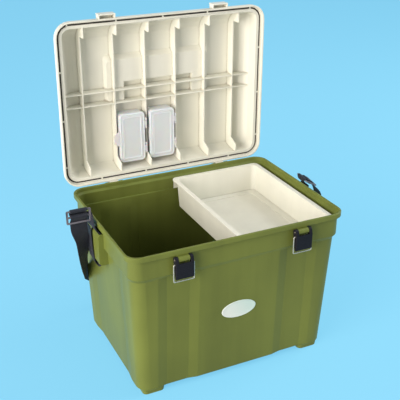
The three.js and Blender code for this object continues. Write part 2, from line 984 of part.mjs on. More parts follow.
const trayDepthHalf = collarHalf.y - collar.wall - clearance.touching * 2;
const trayRight = collarHalf.x - collar.wall - tray.rightGap;
const trayRest = ledgeLevel + clearance.touching;
const trayTop = trayRest + tray.skirtDrop;

function makeTray() {
  const x0 = trayRight - tray.width;
  const x1 = trayRight;
  const under = trayTop - tray.flange;
  const bottom = trayTop - tray.bodyDepth;
  const plan = (inset, z, radius) => ringAt(roundedRectangle(
    x0 + inset,
    x1 - inset,
    inset - trayDepthHalf,
    trayDepthHalf - inset,
    radius,
  ), z);
  const drafted = (inset, share, z) => ringAt(roundedRectangle(
    x0 + inset + tray.draftSide * share,
    x1 - inset - tray.draftSide * share,
    inset - trayDepthHalf + tray.draftEnd * share,
    trayDepthHalf - inset - tray.draftEnd * share,
    tray.cornerRadius,
  ), z);
  const flange = loft([plan(0, under, tray.cornerRadius), plan(0, trayTop, tray.cornerRadius)]);
  const basin = loft([drafted(tray.flangeWidth, 1, bottom), drafted(tray.flangeWidth, 0, trayTop)]);
  const skirts = loft([plan(0, trayRest, tray.cornerRadius), plan(0, trayTop, tray.cornerRadius)])
    .subtract(block(
      x0 - cutOverrun,
      x1 + cutOverrun,
      tray.skirt - trayDepthHalf,
      trayDepthHalf - tray.skirt,
      trayRest - cutOverrun,
      under,
    ));
  const inner = tray.flangeWidth + tray.wall;
  const floor = bottom + tray.wall;
  const hollow = loft([drafted(inner, 1, floor), drafted(inner, 0, trayTop + tray.wall)]);
  const sunk = drafted(inner + tray.floorStepInset, 1, floor - tray.floorStep);
  const step = loft([sunk, drafted(inner + tray.floorStepInset, 1, floor + tray.wall)]);
  return join(flange, basin, skirts).subtract(join(hollow, step));
}

// Small boxes, drawn in the closed lid with their caps facing down

const boxBack = lidCeiling - clearance.touching;
const boxMouth = boxBack - tackleBox.baseDepth;
const boxCapFace = boxMouth - clearance.touching - tackleBox.capHeight;
const boxEnds = {
  near: rib.crossMiddle + (rib.crossSpacing + rib.crossThickness) / 2 + clearance.boxAtCrossRib,
  far: lidHalf.y - lidWallInset - lid.shoulderRunHinge - clearance.boxAtHinge,
};
const boxMiddleY = (boxEnds.near + boxEnds.far) / 2;
const boxMiddleX = (bay) => bay * rib.spacing - (rib.spacing - rib.thickness) / 2
  + clearance.boxInBay + tackleBox.halfWidth;

function boxAxis(bay) {
  return {
    x: boxMiddleX(bay) + tackleBox.halfWidth + tackleBox.hingeReach,
    z: boxCapFace + tackleBox.knuckleRadius,
  };
}

function boxOutline(bay, grow) {
  const radius = tackleBox.cornerRadius + grow;
  const reach = tackleBox.halfWidth + grow;
  return roundedRectangle(
    boxMiddleX(bay) - reach,
    boxMiddleX(bay) + reach,
    boxEnds.near - grow,
    boxEnds.far + grow,
    radius,
  );
}

function tabMiddles() {
  const offset = (boxEnds.far - boxEnds.near) * tackleBox.tabOffsetShare;
  return [boxMiddleY - offset, boxMiddleY + offset];
}

function makeBoxBase(bay) {
  const axis = boxAxis(bay);
  const wall = tackleBox.baseWall;
  const root = boxMiddleX(bay) + tackleBox.halfWidth - wall / 2;
  const clearOfCap = boxMiddleX(bay) + tackleBox.halfWidth + tackleBox.capOverhang + clearance.pivot;
  let base = loft([
    ringAt(boxOutline(bay, 0), boxMouth),
    ringAt(boxOutline(bay, -wall / 2), boxBack),
  ]).subtract(loft([
    ringAt(boxOutline(bay, -wall), boxMouth - cutOverrun),
    ringAt(boxOutline(bay, -wall * 1.5), boxBack - wall),
  ]));
  for (const y of tabMiddles()) {
    for (const end of [-1, 1]) {
      const near = y + end * (tackleBox.capKnuckleHalf + clearance.touching);
      const far = y + end * tackleBox.tabHalf;
      const span = [near, far].sort((a, b) => a - b);
      const arm = prism('y', [
        [boxMouth, root],
        [boxMouth + tackleBox.knuckleRadius * 2, root],
        [axis.z, axis.x + tackleBox.knuckleRadius],
        [axis.z, axis.x],
        [boxMouth, clearOfCap],
      ], span[0], span[1]);
      base = join(base, arm, bar('y', tackleBox.knuckleRadius, span[0], span[1], axis.x, axis.z));
    }
    base = base.subtract(bar(
      'y',
      tackleBox.pinRadius + clearance.pivot,
      y - tackleBox.capKnuckleHalf - tackleBox.pinReach - clearance.touching,
      y + tackleBox.capKnuckleHalf + tackleBox.pinReach + clearance.touching,
      axis.x,
      axis.z,
    ));
  }
  return base;
}

function makeBoxCap(bay, lipLength) {
  const axis = boxAxis(bay);
  const over = tackleBox.capOverhang;
  const rimTop = boxCapFace + tackleBox.capHeight;
  const plateTop = boxCapFace + tackleBox.capPlate;
  let cap = loft([ringAt(boxOutline(bay, 0), boxCapFace), ringAt(boxOutline(bay, over), rimTop)]);
  cap = cap.subtract(loft([
    ringAt(boxOutline(bay, over - tackleBox.capRim), plateTop),
    ringAt(boxOutline(bay, over - tackleBox.capRim), rimTop + cutOverrun),
  ]));
  const ridge = prism(
    'z',
    boxOutline(bay, -tackleBox.ridgeInset),
    boxCapFace - tackleBox.ridgeHeight,
    plateTop,
    [boxOutline(bay, -tackleBox.ridgeInset - tackleBox.ridgeWidth)],
  );
  cap = cap.add(ridge);
  const edge = boxMiddleX(bay) - tackleBox.halfWidth;
  const lip = prism('z', [
    [edge + tackleBox.capRim, boxMiddleY - tackleBox.lipRootHalf],
    [edge + tackleBox.capRim, boxMiddleY + tackleBox.lipRootHalf],
    [edge - lipLength, boxMiddleY + tackleBox.lipTipHalf],
    [edge - lipLength, boxMiddleY - tackleBox.lipTipHalf],
  ], boxCapFace, boxCapFace + tackleBox.lipThickness);
  cap = cap.add(lip);
  for (const y of tabMiddles()) {
    const half = tackleBox.capKnuckleHalf;
    const arm = block(
      boxMiddleX(bay) + tackleBox.halfWidth - tackleBox.capRim,
      axis.x,
      y - half,
      y + half,
      boxCapFace,
      boxCapFace + tackleBox.capPlate * 1.5,
    );
    const reach = half + tackleBox.pinReach;
    cap = join(
      cap,
      arm,
      bar('y', tackleBox.knuckleRadius, y - half, y + half, axis.x, axis.z),
      bar('y', tackleBox.pinRadius, y - reach, y + reach, axis.x, axis.z),
    );
  }
  return cap;
}

// Label, buckles and webbing

function makeLabel() {
  const outline = [];
  for (let i = 0; i < detail.oval; i++) {
    const angle = (i / detail.oval) * Math.PI * 2;
    outline.push([label.halfHeight * Math.sin(angle), label.halfWidth * Math.cos(angle)]);
  }
  const rise = (label.height - wallBottom.z) / (wallTop.z - wallBottom.z);
  const wallY = wallBottom.y + (wallTop.y - wallBottom.y) * rise;
  const lean = Math.atan2(body.taperDepth, wallTop.z - wallBottom.z);
  const plate = prism('y', outline, -label.thickness, 0);
  return plate
    .rotate([THREE.MathUtils.radToDeg(lean), 0, 0])
    .translate([0, -wallY - clearance.touching, label.height]);
}

const buckleHalfHeight = buckle.bar * 1.5 + buckle.slot;

// Where each buckle stands: its middle, and the directions of its width, its height and its back
const leftStance = {
  middle: new THREE.Vector3(
    -rim.halfWidth - buckle.outFromRim,
    buckle.middleY,
    rim.top + buckle.overRim,
  ),
  across: new THREE.Vector3(-1, 0, 0),
  up: new THREE.Vector3(0, 0, 1),
  back: new THREE.Vector3(0, 1, 0),
};
const lean = radians(rightBuckle.lean);
const turn = radians(rightBuckle.turn);
const rightStance = {
  middle: new THREE.Vector3(
    rim.halfWidth + rightBuckle.outFromRim,
    rightBuckle.middleY,
    rim.top - rightBuckle.underRim,
  ),
  across: new THREE.Vector3(Math.sin(turn), Math.cos(turn), 0),
  up: new THREE.Vector3(
    -Math.cos(lean) * Math.cos(turn),
    Math.cos(lean) * Math.sin(turn),
    Math.sin(lean),
  ),
  back: new THREE.Vector3(
    -Math.sin(lean) * Math.cos(turn),
    Math.sin(lean) * Math.sin(turn),
    -Math.cos(lean),
  ),
};

function makeBuckle(stance) {
  const u = buckle.halfWidth;
  const t = buckle.thickness / 2;
  const outer = roundedRectangle(
    -buckleHalfHeight,
    buckleHalfHeight,
    -u,
    u,
    buckle.cornerRadius,
  );
  let plate = prism('y', outer, -t, t);
  for (const end of [-1, 1]) {
    const near = (end * buckle.bar) / 2;
    const far = end * (buckle.bar / 2 + buckle.slot);
    const z = [near, far].sort((a, b) => a - b);
    plate = plate.subtract(block(
      buckle.side - u,
      u - buckle.side,
      -t - cutOverrun,
      t + cutOverrun,
      z[0],
      z[1],
    ));
  }
  const width = stance.back.clone().cross(stance.up);
  const place = new THREE.Matrix4().makeBasis(width, stance.back, stance.up);
  return plate.transform(place.setPosition(stance.middle).toArray());
}

// Flat webbing along a route of points, each with the direction of its width
function webbing(route) {
  const curve = new THREE.CatmullRomCurve3(route.map((stop) => stop.at), false, 'centripetal');
  const spans = route.length - 1;
  const rings = [];
  for (let i = 0; i <= spans * detail.webbingPerSpan; i++) {
    const place = i / detail.webbingPerSpan;
    const span = Math.min(Math.floor(place), spans - 1);
    const across = route[span].across.clone().lerp(route[span + 1].across, place - span).normalize();
    const centre = curve.getPoint(place / spans);
    const heading = curve.getTangent(place / spans);
    const normal = heading.clone().cross(across).normalize();
    const w = across.multiplyScalar(strap.width / 2);
    const t = normal.multiplyScalar(strap.thickness / 2);
    rings.push([
      centre.clone().add(w).add(t),
      centre.clone().add(w).sub(t),
      centre.clone().sub(w).sub(t),
      centre.clone().sub(w).add(t),
    ]);
  }
  const lastSide = [rings[0].length - 1];
  const solid = loft(rings, lastSide);
  return solid.volume() < 0 ? loft(rings.map((ring) => ring.reverse()), lastSide) : solid;
}

// A stop of the webbing inside a buckle: height and depth from the buckle's middle
function atBuckle(stance, v, n) {
  return {
    at: stance.middle.clone().addScaledVector(stance.up, v).addScaledVector(stance.back, n),
    across: stance.across.clone(),
  };
}

const webOffset = buckle.thickness / 2 + clearance.touching + strap.thickness;
const slotMiddle = (buckle.bar + buckle.slot) / 2;
const loopRadius = Math.hypot(buckle.bar, buckle.thickness) / 2 + clearance.pivot + strap.thickness / 2;

// The strap's hanging stretches, from under each buckle to the middle of the back: shares of
// the rim's half width, half depth and height, and the direction of the strap's width
const leftRouteShares = [
  [-1.1359, 0.0811, 0.9439, -1, 0, 0],
  [-1.123, 0.139, 0.8513, -1, -0.1, -0.05],
  [-1.093, 0.2665, 0.7279, -0.8, -0.33, -0.36],
  [-1.0287, 0.4403, 0.5922, -0.55, -0.6, -0.6],
  [-0.9901, 0.6952, 0.4565, -0.3, -0.5, -0.8],
  [-0.9087, 0.9965, 0.3208, -0.4, -0.4, -0.85],
  [-0.6858, 1.1587, 0.2406, -0.3, 0.5, -0.55],
  [-0.3601, 1.1993, 0.1912, -0.1, 0.9, -0.3],
];
const rightRouteShares = [
  [1.2109, 0.0463, 0.9038, 0.03, 0.99, 0.1],
  [1.2447, 0.0695, 0.8174, 0, 0.98, 0.2],
  [1.2045, 0.1912, 0.6848, 0, 0.85, 0.5],
  [1.1059, 0.4635, 0.5676, 0, 0.6, 0.8],
  [1.0244, 0.7532, 0.4812, -0.1, 0.48, 0.87],
  [0.9087, 1.0429, 0.401, -0.35, 0.3, 0.88],
  [0.6858, 1.1703, 0.3023, -0.17, 0.7, 0.69],
  [0.3601, 1.1993, 0.2159, -0.03, 0.9, 0.35],
];
const middleShares = [0, 1.2051, 0.1758, 0, 1, 0];

function routeStop([xShare, yShare, zShare, ...across]) {
  return {
    at: new THREE.Vector3(rim.halfWidth * xShare, rim.halfDepth * yShare, rim.top * zShare),
    across: new THREE.Vector3(...across).normalize(),
  };
}

// Half of the shoulder strap: tail over the middle bar, out behind the lower bar, down along
// the tub's side and round its back corner
function strapHalf(stance, shares) {
  const bar2 = buckle.bar / 2;
  return [
    atBuckle(stance, -bar2, webOffset),
    atBuckle(stance, bar2, webOffset),
    atBuckle(stance, bar2 + strap.thickness * 2, 0),
    atBuckle(stance, bar2, -webOffset),
    atBuckle(stance, -bar2, -webOffset),
    atBuckle(stance, -slotMiddle, 0),
    atBuckle(stance, -slotMiddle * 2 + bar2, webOffset),
    atBuckle(stance, -buckleHalfHeight - strap.thickness, webOffset + strap.thickness),
    ...shares.map(routeStop),
  ];
}

function makeStrap() {
  return webbing([
    ...strapHalf(leftStance, leftRouteShares),
    routeStop(middleShares),
    ...strapHalf(rightStance, rightRouteShares).reverse(),
  ]);
}

// The loop round the lug's bar: shares of the way from the slot out to the bar's outer side, of
// the strap's width along the tub, and of the lug's height over its foot, then the width's direction
const loopLowShares = [
  [1.119, 0.5, 0.456, 0, 1, 0.25],
  [1, 0.294, 0.25, 0, 1, 0.2],
  [1, 0.088, 0.074, 0, 1, 0.1],
  [0.702, 0.029, -0.029, 0, 1, 0],
  [0.5, 0, -0.066, 0, 1, 0],
  [0.119, 0, -0.015, 0, 1, 0],
  [0, 0, 0.088, 0, 1, 0],
  [0, 0, 1, 0, 1, 0],
];

// Each loop's way up to its buckle: shares of the way out and up from the lug's top to the
// buckle's middle, with the strap's width again as the measure along the tub
const leftRiseShares = [
  [0.1445, 0.088, 0.167, -0.1, 1, 0],
  [0.393, 0.3235, 0.292, -0.35, 1, 0],
  [0.639, 0.618, 0.472, -0.8, 0.6, 0],
  [0.884, 0.676, 0.694, -1, 0.15, 0],
];
const rightRiseShares = [
  [0.188, 0.0882, 0.4, 0, 1, 0],
  [0.3346, 0.1912, 0.6667, 0.06, 1, 0],
];

// The last stops round a buckle's upper bar: how far up and back from it, as shares of the
// loop's radius there
const leftLeadShares = [-1.8, 2.2];
const rightLeadShares = [0.45, 1.9];
const wrapTurns = [45, 0, -45, -90, -135, -180];

// Short webbing: its end is turned up outside the lug's bar, it runs up through the slot and
// goes round the buckle's upper bar
function makeLoop(side, stance, riseShares, leadShares) {
  const slotX = beltBar.face - beltLug.barThickness - webOffset;
  const face = beltBar.face + clearance.touching * 2 + strap.thickness;
  const between = (from, to, share) => from + (to - from) * share;
  const routed = (shares, x, z) => shares.map(([outShare, alongShare, upShare, ...across]) => ({
    at: new THREE.Vector3(
      side * between(slotX, x, outShare),
      beltLug.middleY + strap.width * alongShare,
      between(z[0], z[1], upShare),
    ),
    across: new THREE.Vector3(...across).normalize(),
  }));
  const barV = buckleHalfHeight - buckle.bar / 2;
  return webbing([
    ...routed(loopLowShares, face, [beltBar.bottom, beltBar.top]),
    ...routed(riseShares, Math.abs(stance.middle.x), [beltBar.top, stance.middle.z]),
    atBuckle(stance, barV + loopRadius * leadShares[0], loopRadius * leadShares[1]),
    ...wrapTurns.map((degrees) => atBuckle(
      stance,
      barV + loopRadius * Math.cos(radians(degrees)),
      loopRadius * Math.sin(radians(degrees)),
    )),
  ]);
}

// Finishes

const finish = {
  green: new THREE.MeshStandardMaterial({ color: 0x6f8040, roughness: 0.5, metalness: 0 }),
  cream: new THREE.MeshStandardMaterial({ color: 0xe4dfcd, roughness: 0.5, metalness: 0 }),
  clear: new THREE.MeshStandardMaterial({ color: 0xe8ecef, roughness: 0.3, metalness: 0 }),
  rubber: new THREE.MeshStandardMaterial({ color: 0x2c241e, roughness: 0.8, metalness: 0 }),
  black: new THREE.MeshStandardMaterial({ color: 0x1b1b20, roughness: 0.45, metalness: 0 }),
  webbing: new THREE.MeshStandardMaterial({ color: 0x24242b, roughness: 0.9, metalness: 0 }),
  steel: new THREE.MeshStandardMaterial({ color: 0xc9cac6, roughness: 0.25, metalness: 1 }),
  white: new THREE.MeshStandardMaterial({ color: 0xf2f2f0, roughness: 0.4, metalness: 0 }),
};

function named(name, solid, material) {
  const mesh = new THREE.Mesh(toGeometry(solid), material);
  mesh.name = name;
  return mesh;
}

// Assembly

const sides = [['left', -1], ['right', 1]];
const product = new THREE.Group();
product.add(named('tub', makeTub(), finish.green));
product.add(named('tray', makeTray(), finish.cream));
product.add(named('front_label', makeLabel(), finish.white));
product.add(named('shoulder_strap', makeStrap(), finish.webbing));
for (const [word, side] of sides) {
  const loop = side < 0
    ? makeLoop(side, leftStance, leftRiseShares, leftLeadShares)
    : makeLoop(side, rightStance, rightRiseShares, rightLeadShares);
  product.add(named(`${word}_strap_loop`, loop, finish.webbing));
  product.add(named(`${word}_buckle`, makeBuckle(side < 0 ? leftStance : rightStance), finish.black));
  product.add(named(`${word}_latch_lever`, makeLever(side), finish.black));
  product.add(named(`${word}_latch_pin`, makeLatchPin(side), finish.steel));
  product.add(named(`${word}_latch_bail`, makeBail(side), finish.steel));
  product.add(named(`${word}_hinge_pin`, makeHingePin(side), finish.steel));
}

// The lid stands open at a right angle
const lidTurn = new THREE.Group();
lidTurn.position.set(0, hingeAxis.y, hingeAxis.z);
lidTurn.rotation.x = -Math.PI / 2;
const lidParts = new THREE.Group();
lidParts.position.set(0, -hingeAxis.y, -hingeAxis.z);
lidParts.add(named('lid', makeLid(), finish.cream));
lidParts.add(named('lid_seal', makeSeal(), finish.rubber));
const boxes = [['left', -1, tackleBox.lipLeft], ['right', 0, tackleBox.lipRight]];
for (const [word, bay, lipLength] of boxes) {
  lidParts.add(named(`${word}_box_base`, makeBoxBase(bay), finish.clear));
  lidParts.add(named(`${word}_box_cap`, makeBoxCap(bay, lipLength), finish.clear));
}
lidTurn.add(lidParts);
product.add(lidTurn);

// The origin lies on the floor under the middle of the whole outline
const bounds = new THREE.Box3().setFromObject(product);
product.position.y = -(bounds.min.y + bounds.max.y) / 2;
product.updateMatrixWorld(true);

export default product;
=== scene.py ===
"""Fishing seat box standing open: its surfaces, finishes, light and camera.

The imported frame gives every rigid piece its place. This script gives the pieces their moulded
edges and finishes, and makes the webbing, wire, seal and plate as full forms in the same space.
Lengths are in metres, and in millimetres where a name ends in _mm or its docstring says so.
"""

import logging
import math
from dataclasses import dataclass
from enum import Enum
from typing import Callable, Iterable, Optional, Sequence

import bmesh
import bpy
import numpy as np
from bpy.types import Material, Mesh, Node, NodeSocket, NodeTree, Object
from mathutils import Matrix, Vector


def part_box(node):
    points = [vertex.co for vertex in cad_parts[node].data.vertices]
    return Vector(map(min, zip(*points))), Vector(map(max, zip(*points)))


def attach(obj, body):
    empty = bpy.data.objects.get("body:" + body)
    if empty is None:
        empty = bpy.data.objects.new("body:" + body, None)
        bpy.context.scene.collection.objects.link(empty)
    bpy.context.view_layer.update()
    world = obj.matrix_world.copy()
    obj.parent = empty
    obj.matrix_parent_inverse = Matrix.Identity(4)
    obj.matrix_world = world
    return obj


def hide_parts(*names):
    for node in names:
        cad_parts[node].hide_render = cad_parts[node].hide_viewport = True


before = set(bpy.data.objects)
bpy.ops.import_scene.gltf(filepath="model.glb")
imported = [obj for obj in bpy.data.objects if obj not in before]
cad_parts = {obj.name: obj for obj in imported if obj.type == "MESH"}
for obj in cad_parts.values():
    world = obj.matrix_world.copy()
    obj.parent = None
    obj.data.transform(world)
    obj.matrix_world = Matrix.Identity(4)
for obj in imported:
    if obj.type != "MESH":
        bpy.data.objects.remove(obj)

Point = tuple[float, float, float]
Colour = tuple[float, float, float]
Pair = tuple[float, float]
Outline = list[Pair]
Rows = Sequence[tuple[float, ...]]

LOG = logging.getLogger("seat_box")
MM = 0.001
SHIFT_Y_MM = -31.225  # from the tub's own middle to the middle of the whole outline
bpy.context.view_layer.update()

# How the frame's faceted meshes are merged, eased and shaded, in metres and degrees
SAME_CORNER = 2e-5
SAME_POINT = 1e-6
FLAT_DEG = 0.8
CREASE_DEG = 6.0
SHARP_DEG = 26.0
SOFT_DEG = 60.0
BROAD_FACE = 0.009
EDGE_SEGMENTS = 2
FLAT_WEIGHT = 50


# Shader graphs


def operator(operation: str, flipped: bool = False) -> Callable[..., "Signal"]:
    """A method of a signal that adds one Math node.

    Args:
        operation: the node's operation.
        flipped: whether the other value comes first.

    Returns:
        The method.
    """

    def method(self: "Signal", *other: "Signal | float") -> "Signal":
        """Adds the Math node for this signal and the other value, if there is one."""
        values = (*other, self) if flipped else (self, *other)
        return self.graph.node("ShaderNodeMath", {"operation": operation}, dict(enumerate(values)))

    return method


class Signal:
    """A socket of a shader graph that is written as a number in an expression."""

    __add__ = __radd__ = operator("ADD")
    __sub__ = operator("SUBTRACT")
    __rsub__ = operator("SUBTRACT", flipped=True)
    __mul__ = __rmul__ = operator("MULTIPLY")
    __pow__ = operator("POWER")
    larger = operator("MAXIMUM")
    size = operator("ABSOLUTE")
    sine = operator("SINE")

    def __init__(self, graph: "Graph", socket: NodeSocket) -> None:
        """Wraps one output socket of a graph."""
        self.graph = graph
        self.socket = socket

    def ramp(self, low: float, high: float) -> "Signal":
        """The eased share of the way from low to high, from 0 to 1."""
        settings = {"interpolation_type": "SMOOTHSTEP"}
        return self.graph.node("ShaderNodeMapRange", settings, {0: self, 1: low, 2: high})


class Graph:
    """A node graph that is written as expressions."""

    looks: tuple[str, ...] = ("Is Camera Ray", "Is Glossy Ray", "Is Transmission Ray")
    crease_samples: int = 8

    def __init__(self, tree: NodeTree) -> None:
        """Empties the node tree that is written."""
        self.tree = tree
        tree.nodes.clear()

    def seen(self) -> Signal:
        """1 for rays that show the backdrop, straight, mirrored or through clear plastic."""
        first, second, third = (self.node("ShaderNodeLightPath", output=look) for look in self.looks)
        return first.larger(second).larger(third)

    def node(
        self,
        kind: str,
        settings: Optional[dict] = None,
        values: Optional[dict] = None,
        output: "int | str | None" = 0,
    ) -> Optional[Signal]:
        """Adds any node.

        Args:
            kind: the node's type.
            settings: the node's own settings, set first.
            values: numbers, colours or signals for its sockets, by index or name.
            output: the output socket that is returned; None for a node without one.

        Returns:
            The output socket as a signal.
        """
        made = self.tree.nodes.new(kind)
        for key, value in (settings or {}).items():
            setattr(made, key, value)
        for key, value in (values or {}).items():
            self.feed(made.inputs[key], value)
        return None if output is None else Signal(self, made.outputs[output])

    def feed(self, socket: NodeSocket, value: object) -> None:
        """Sets a socket, or links it where the value is a signal.

        Args:
            socket: the input socket.
            value: a number, a colour or a signal.
        """
        if isinstance(value, Signal):
            self.tree.links.new(value.socket, socket)
        else:
            socket.default_value = value

    def place(self) -> Signal:
        """The point's place on the piece, in the piece's own space."""
        return self.node("ShaderNodeTexCoord", output="Object")

    def woven(self) -> Signal:
        """The point's place on the piece's own unrolled surface."""
        return self.node("ShaderNodeTexCoord", output="UV")

    def axes(self, vector: Signal) -> tuple[Signal, Signal, Signal]:
        """The three numbers of a vector.

        Args:
            vector: the vector.

        Returns:
            Its x, y and z.
        """
        made = self.tree.nodes.new("ShaderNodeSeparateXYZ")
        self.tree.links.new(vector.socket, made.inputs[0])
        return tuple(Signal(self, made.outputs[i]) for i in range(3))

    def stretched(self, vector: Signal, scale: Sequence[float]) -> Signal:
        """The vector with each axis scaled."""
        return self.node("ShaderNodeMapping", None, {"Vector": vector, "Scale": tuple(scale)})

    def noise(self, vector: Signal, scale: float = 1, detail: float = 2, rough: float = 0.5) -> Signal:
        """Soft noise from 0 to 1, with its grains to the metre and its finer layers."""
        values = {"Vector": vector, "Scale": scale, "Detail": detail, "Roughness": rough}
        return self.node("ShaderNodeTexNoise", None, values, "Fac")

    def creases(self, reach_mm: float) -> Signal:
        """How closely the piece's own walls stand round a point.

        Args:
            reach_mm: how far away a wall still counts.

        Returns:
            The closeness, from 0 to 1.
        """
        settings = {"samples": self.crease_samples, "only_local": True}
        values = {"Distance": reach_mm * MM}
        return 1 - self.node("ShaderNodeAmbientOcclusion", settings, values, "AO")

    def mix(self, share: "Signal | float", a: object, b: object) -> Signal:
        """A colour between two colours.

        Args:
            share: the share of the second one.
            a: the first colour, or a signal.
            b: the second colour, or a signal.

        Returns:
            The mixed colour.
        """
        made = self.tree.nodes.new("ShaderNodeMix")
        made.data_type = "RGBA"
        for key, value in ((0, share), (6, a), (7, b)):
            self.feed(made.inputs[key], value)
        return Signal(self, made.outputs[2])


class SurfaceGraph(Graph):
    """A material's graph with a Principled shader at its end."""

    def __init__(self, name: str) -> None:
        """Makes a material.

        Args:
            name: the material's name.
        """
        self.material = bpy.data.materials.new(name)
        self.material.use_nodes = True
        super().__init__(self.material.node_tree)
        self.out = self.tree.nodes.new("ShaderNodeOutputMaterial")
        self.shader = self.tree.nodes.new("ShaderNodeBsdfPrincipled")
        self.tree.links.new(self.shader.outputs[0], self.out.inputs[0])

    def bump(self, height: Signal, strength: float, depth: float) -> None:
        """Feeds the normal from a height of 0 to 1 with its strength and its depth in metres."""
        values = {"Height": height, "Strength": strength, "Distance": depth}
        self.feed(self.shader.inputs["Normal"], self.node("ShaderNodeBump", None, values))

    def set(self, **values: object) -> None:
        """Sets the shader's sockets, with spaces written as underscores."""
        for key, value in values.items():
            self.feed(self.shader.inputs[key.replace("_", " ")], value)


def tint(colour: Sequence[float], factor: float) -> tuple[float, float, float, float]:
    """A colour with each part times a factor, and full alpha."""
    return tuple(min(1.0, c * factor) for c in colour) + (1.0,)


@dataclass(frozen=True)
class MouldedPlastic:
    """Injection-moulded plastic: satin grain, flow marks, handling scuffs, and painted shade in creases
    where it is asked for.
    """

    name: str
    colour: Colour
    roughness: float = 0.42
    grain_size: float = 0.0011
    grain_depth: float = 0.00006
    mottle: float = 0.06
    mottle_range: Pair = (0.3, 0.7)
    flow_axis: Point = (9.0, 9.0, 1.4)
    cloud_scale: float = 7.0
    scuff: float = 0.05
    scuff_axis: Point = (260.0, 31.0, 47.0)
    scuff_range: Pair = (0.66, 0.74)
    scuff_tint: float = 1.6
    patch_scale: float = 16.0
    patch_range: Pair = (0.5, 0.7)
    sink_scale: float = 22.0
    specular: float = 0.42
    refraction: float = 1.49
    ridge_mm: float = 0.0
    ridge_depth: float = 0.0006
    ridge_range: Pair = (-0.3, 0.5)
    # Painted shade in creases: its share, the closeness range, its reach and its brown colour.
    dust: float = 0.0
    dust_range: Pair = (0.12, 0.6)
    dust_mm: float = 5.0
    dust_colour: Colour = (0.3, 0.235, 0.15)

    def build(self) -> Material:
        """Makes the material.

        Returns:
            The finished material.
        """
        g = SurfaceGraph(self.name)
        at = g.place()
        flow = g.noise(g.stretched(at, self.flow_axis), detail=4.0, rough=0.55)
        cloud = g.noise(at, self.cloud_scale, detail=3.0)
        shade = (flow * 0.6 + cloud * 0.4).ramp(*self.mottle_range)
        base = g.mix(shade, tint(self.colour, 1 - self.mottle), tint(self.colour, 1 + self.mottle))
        # Painted shade: where the piece's own walls stand close, in creases and beside ribs, the colour
        # is darkened towards a brown.
        if self.dust:
            painted_shade = g.creases(self.dust_mm).ramp(*self.dust_range) * self.dust
            base = g.mix(painted_shade, base, tint(self.dust_colour, 1.0))
        scratch = g.noise(g.stretched(at, self.scuff_axis), detail=3.0, rough=0.6)
        scratch = scratch.ramp(*self.scuff_range)
        patch = g.noise(at, self.patch_scale).ramp(*self.patch_range)
        worn = scratch * patch * self.scuff
        g.set(Base_Color=g.mix(worn, base, tint(self.colour, self.scuff_tint)))
        grain = g.noise(at, 1 / self.grain_size, rough=0.6)
        sink = g.noise(at, self.sink_scale, detail=1.0)
        g.set(Roughness=self.roughness + 0.16 * (cloud - 0.5) + 0.12 * (grain - 0.5) + worn)
        height, depth = grain * 0.75 + sink * 0.25 + scratch * patch * 0.1, self.grain_depth
        if self.ridge_mm:
            ridges = (g.axes(at)[2] * (2 * math.pi / (self.ridge_mm * MM))).sine()
            ridges = ridges.ramp(*self.ridge_range)
            height, depth = height * 0.12 + ridges * 0.88, self.ridge_depth
        g.bump(height, strength=0.5, depth=depth)
        g.set(Specular_IOR_Level=self.specular, IOR=self.refraction)
        return g.material


@dataclass(frozen=True)
class MilkyPlastic:
    """Thin translucent moulding of the small boxes."""

    name: str
    colour: Colour
    see_through: float = 0.14
    roughness: float = 0.34
    mottle: float = 0.03
    depth: float = 0.35
    depth_scale: float = 0.006
    refraction: float = 1.46
    specular: float = 0.25
    cloud_scale: float = 38.0
    grain_scale: float = 900.0
    grain_depth: float = 0.00008

    def build(self) -> Material:
        """Makes the material.

        Returns:
            The finished material.
        """
        g = SurfaceGraph(self.name)
        at = g.place()
        cloud = g.noise(at, self.cloud_scale, detail=3.0)
        grain = g.noise(at, self.grain_scale)
        darker, lighter = tint(self.colour, 1 - self.mottle), tint(self.colour, 1 + self.mottle)
        g.set(Base_Color=g.mix(cloud, darker, lighter))
        g.set(Roughness=self.roughness + 0.18 * (cloud - 0.5))
        g.bump(grain * 0.4 + cloud * 0.6, strength=0.25, depth=self.grain_depth)
        g.set(Transmission_Weight=self.see_through, IOR=self.refraction)
        g.set(Specular_IOR_Level=self.specular)
        g.set(Subsurface_Weight=self.depth, Subsurface_Scale=self.depth_scale)
        return g.material


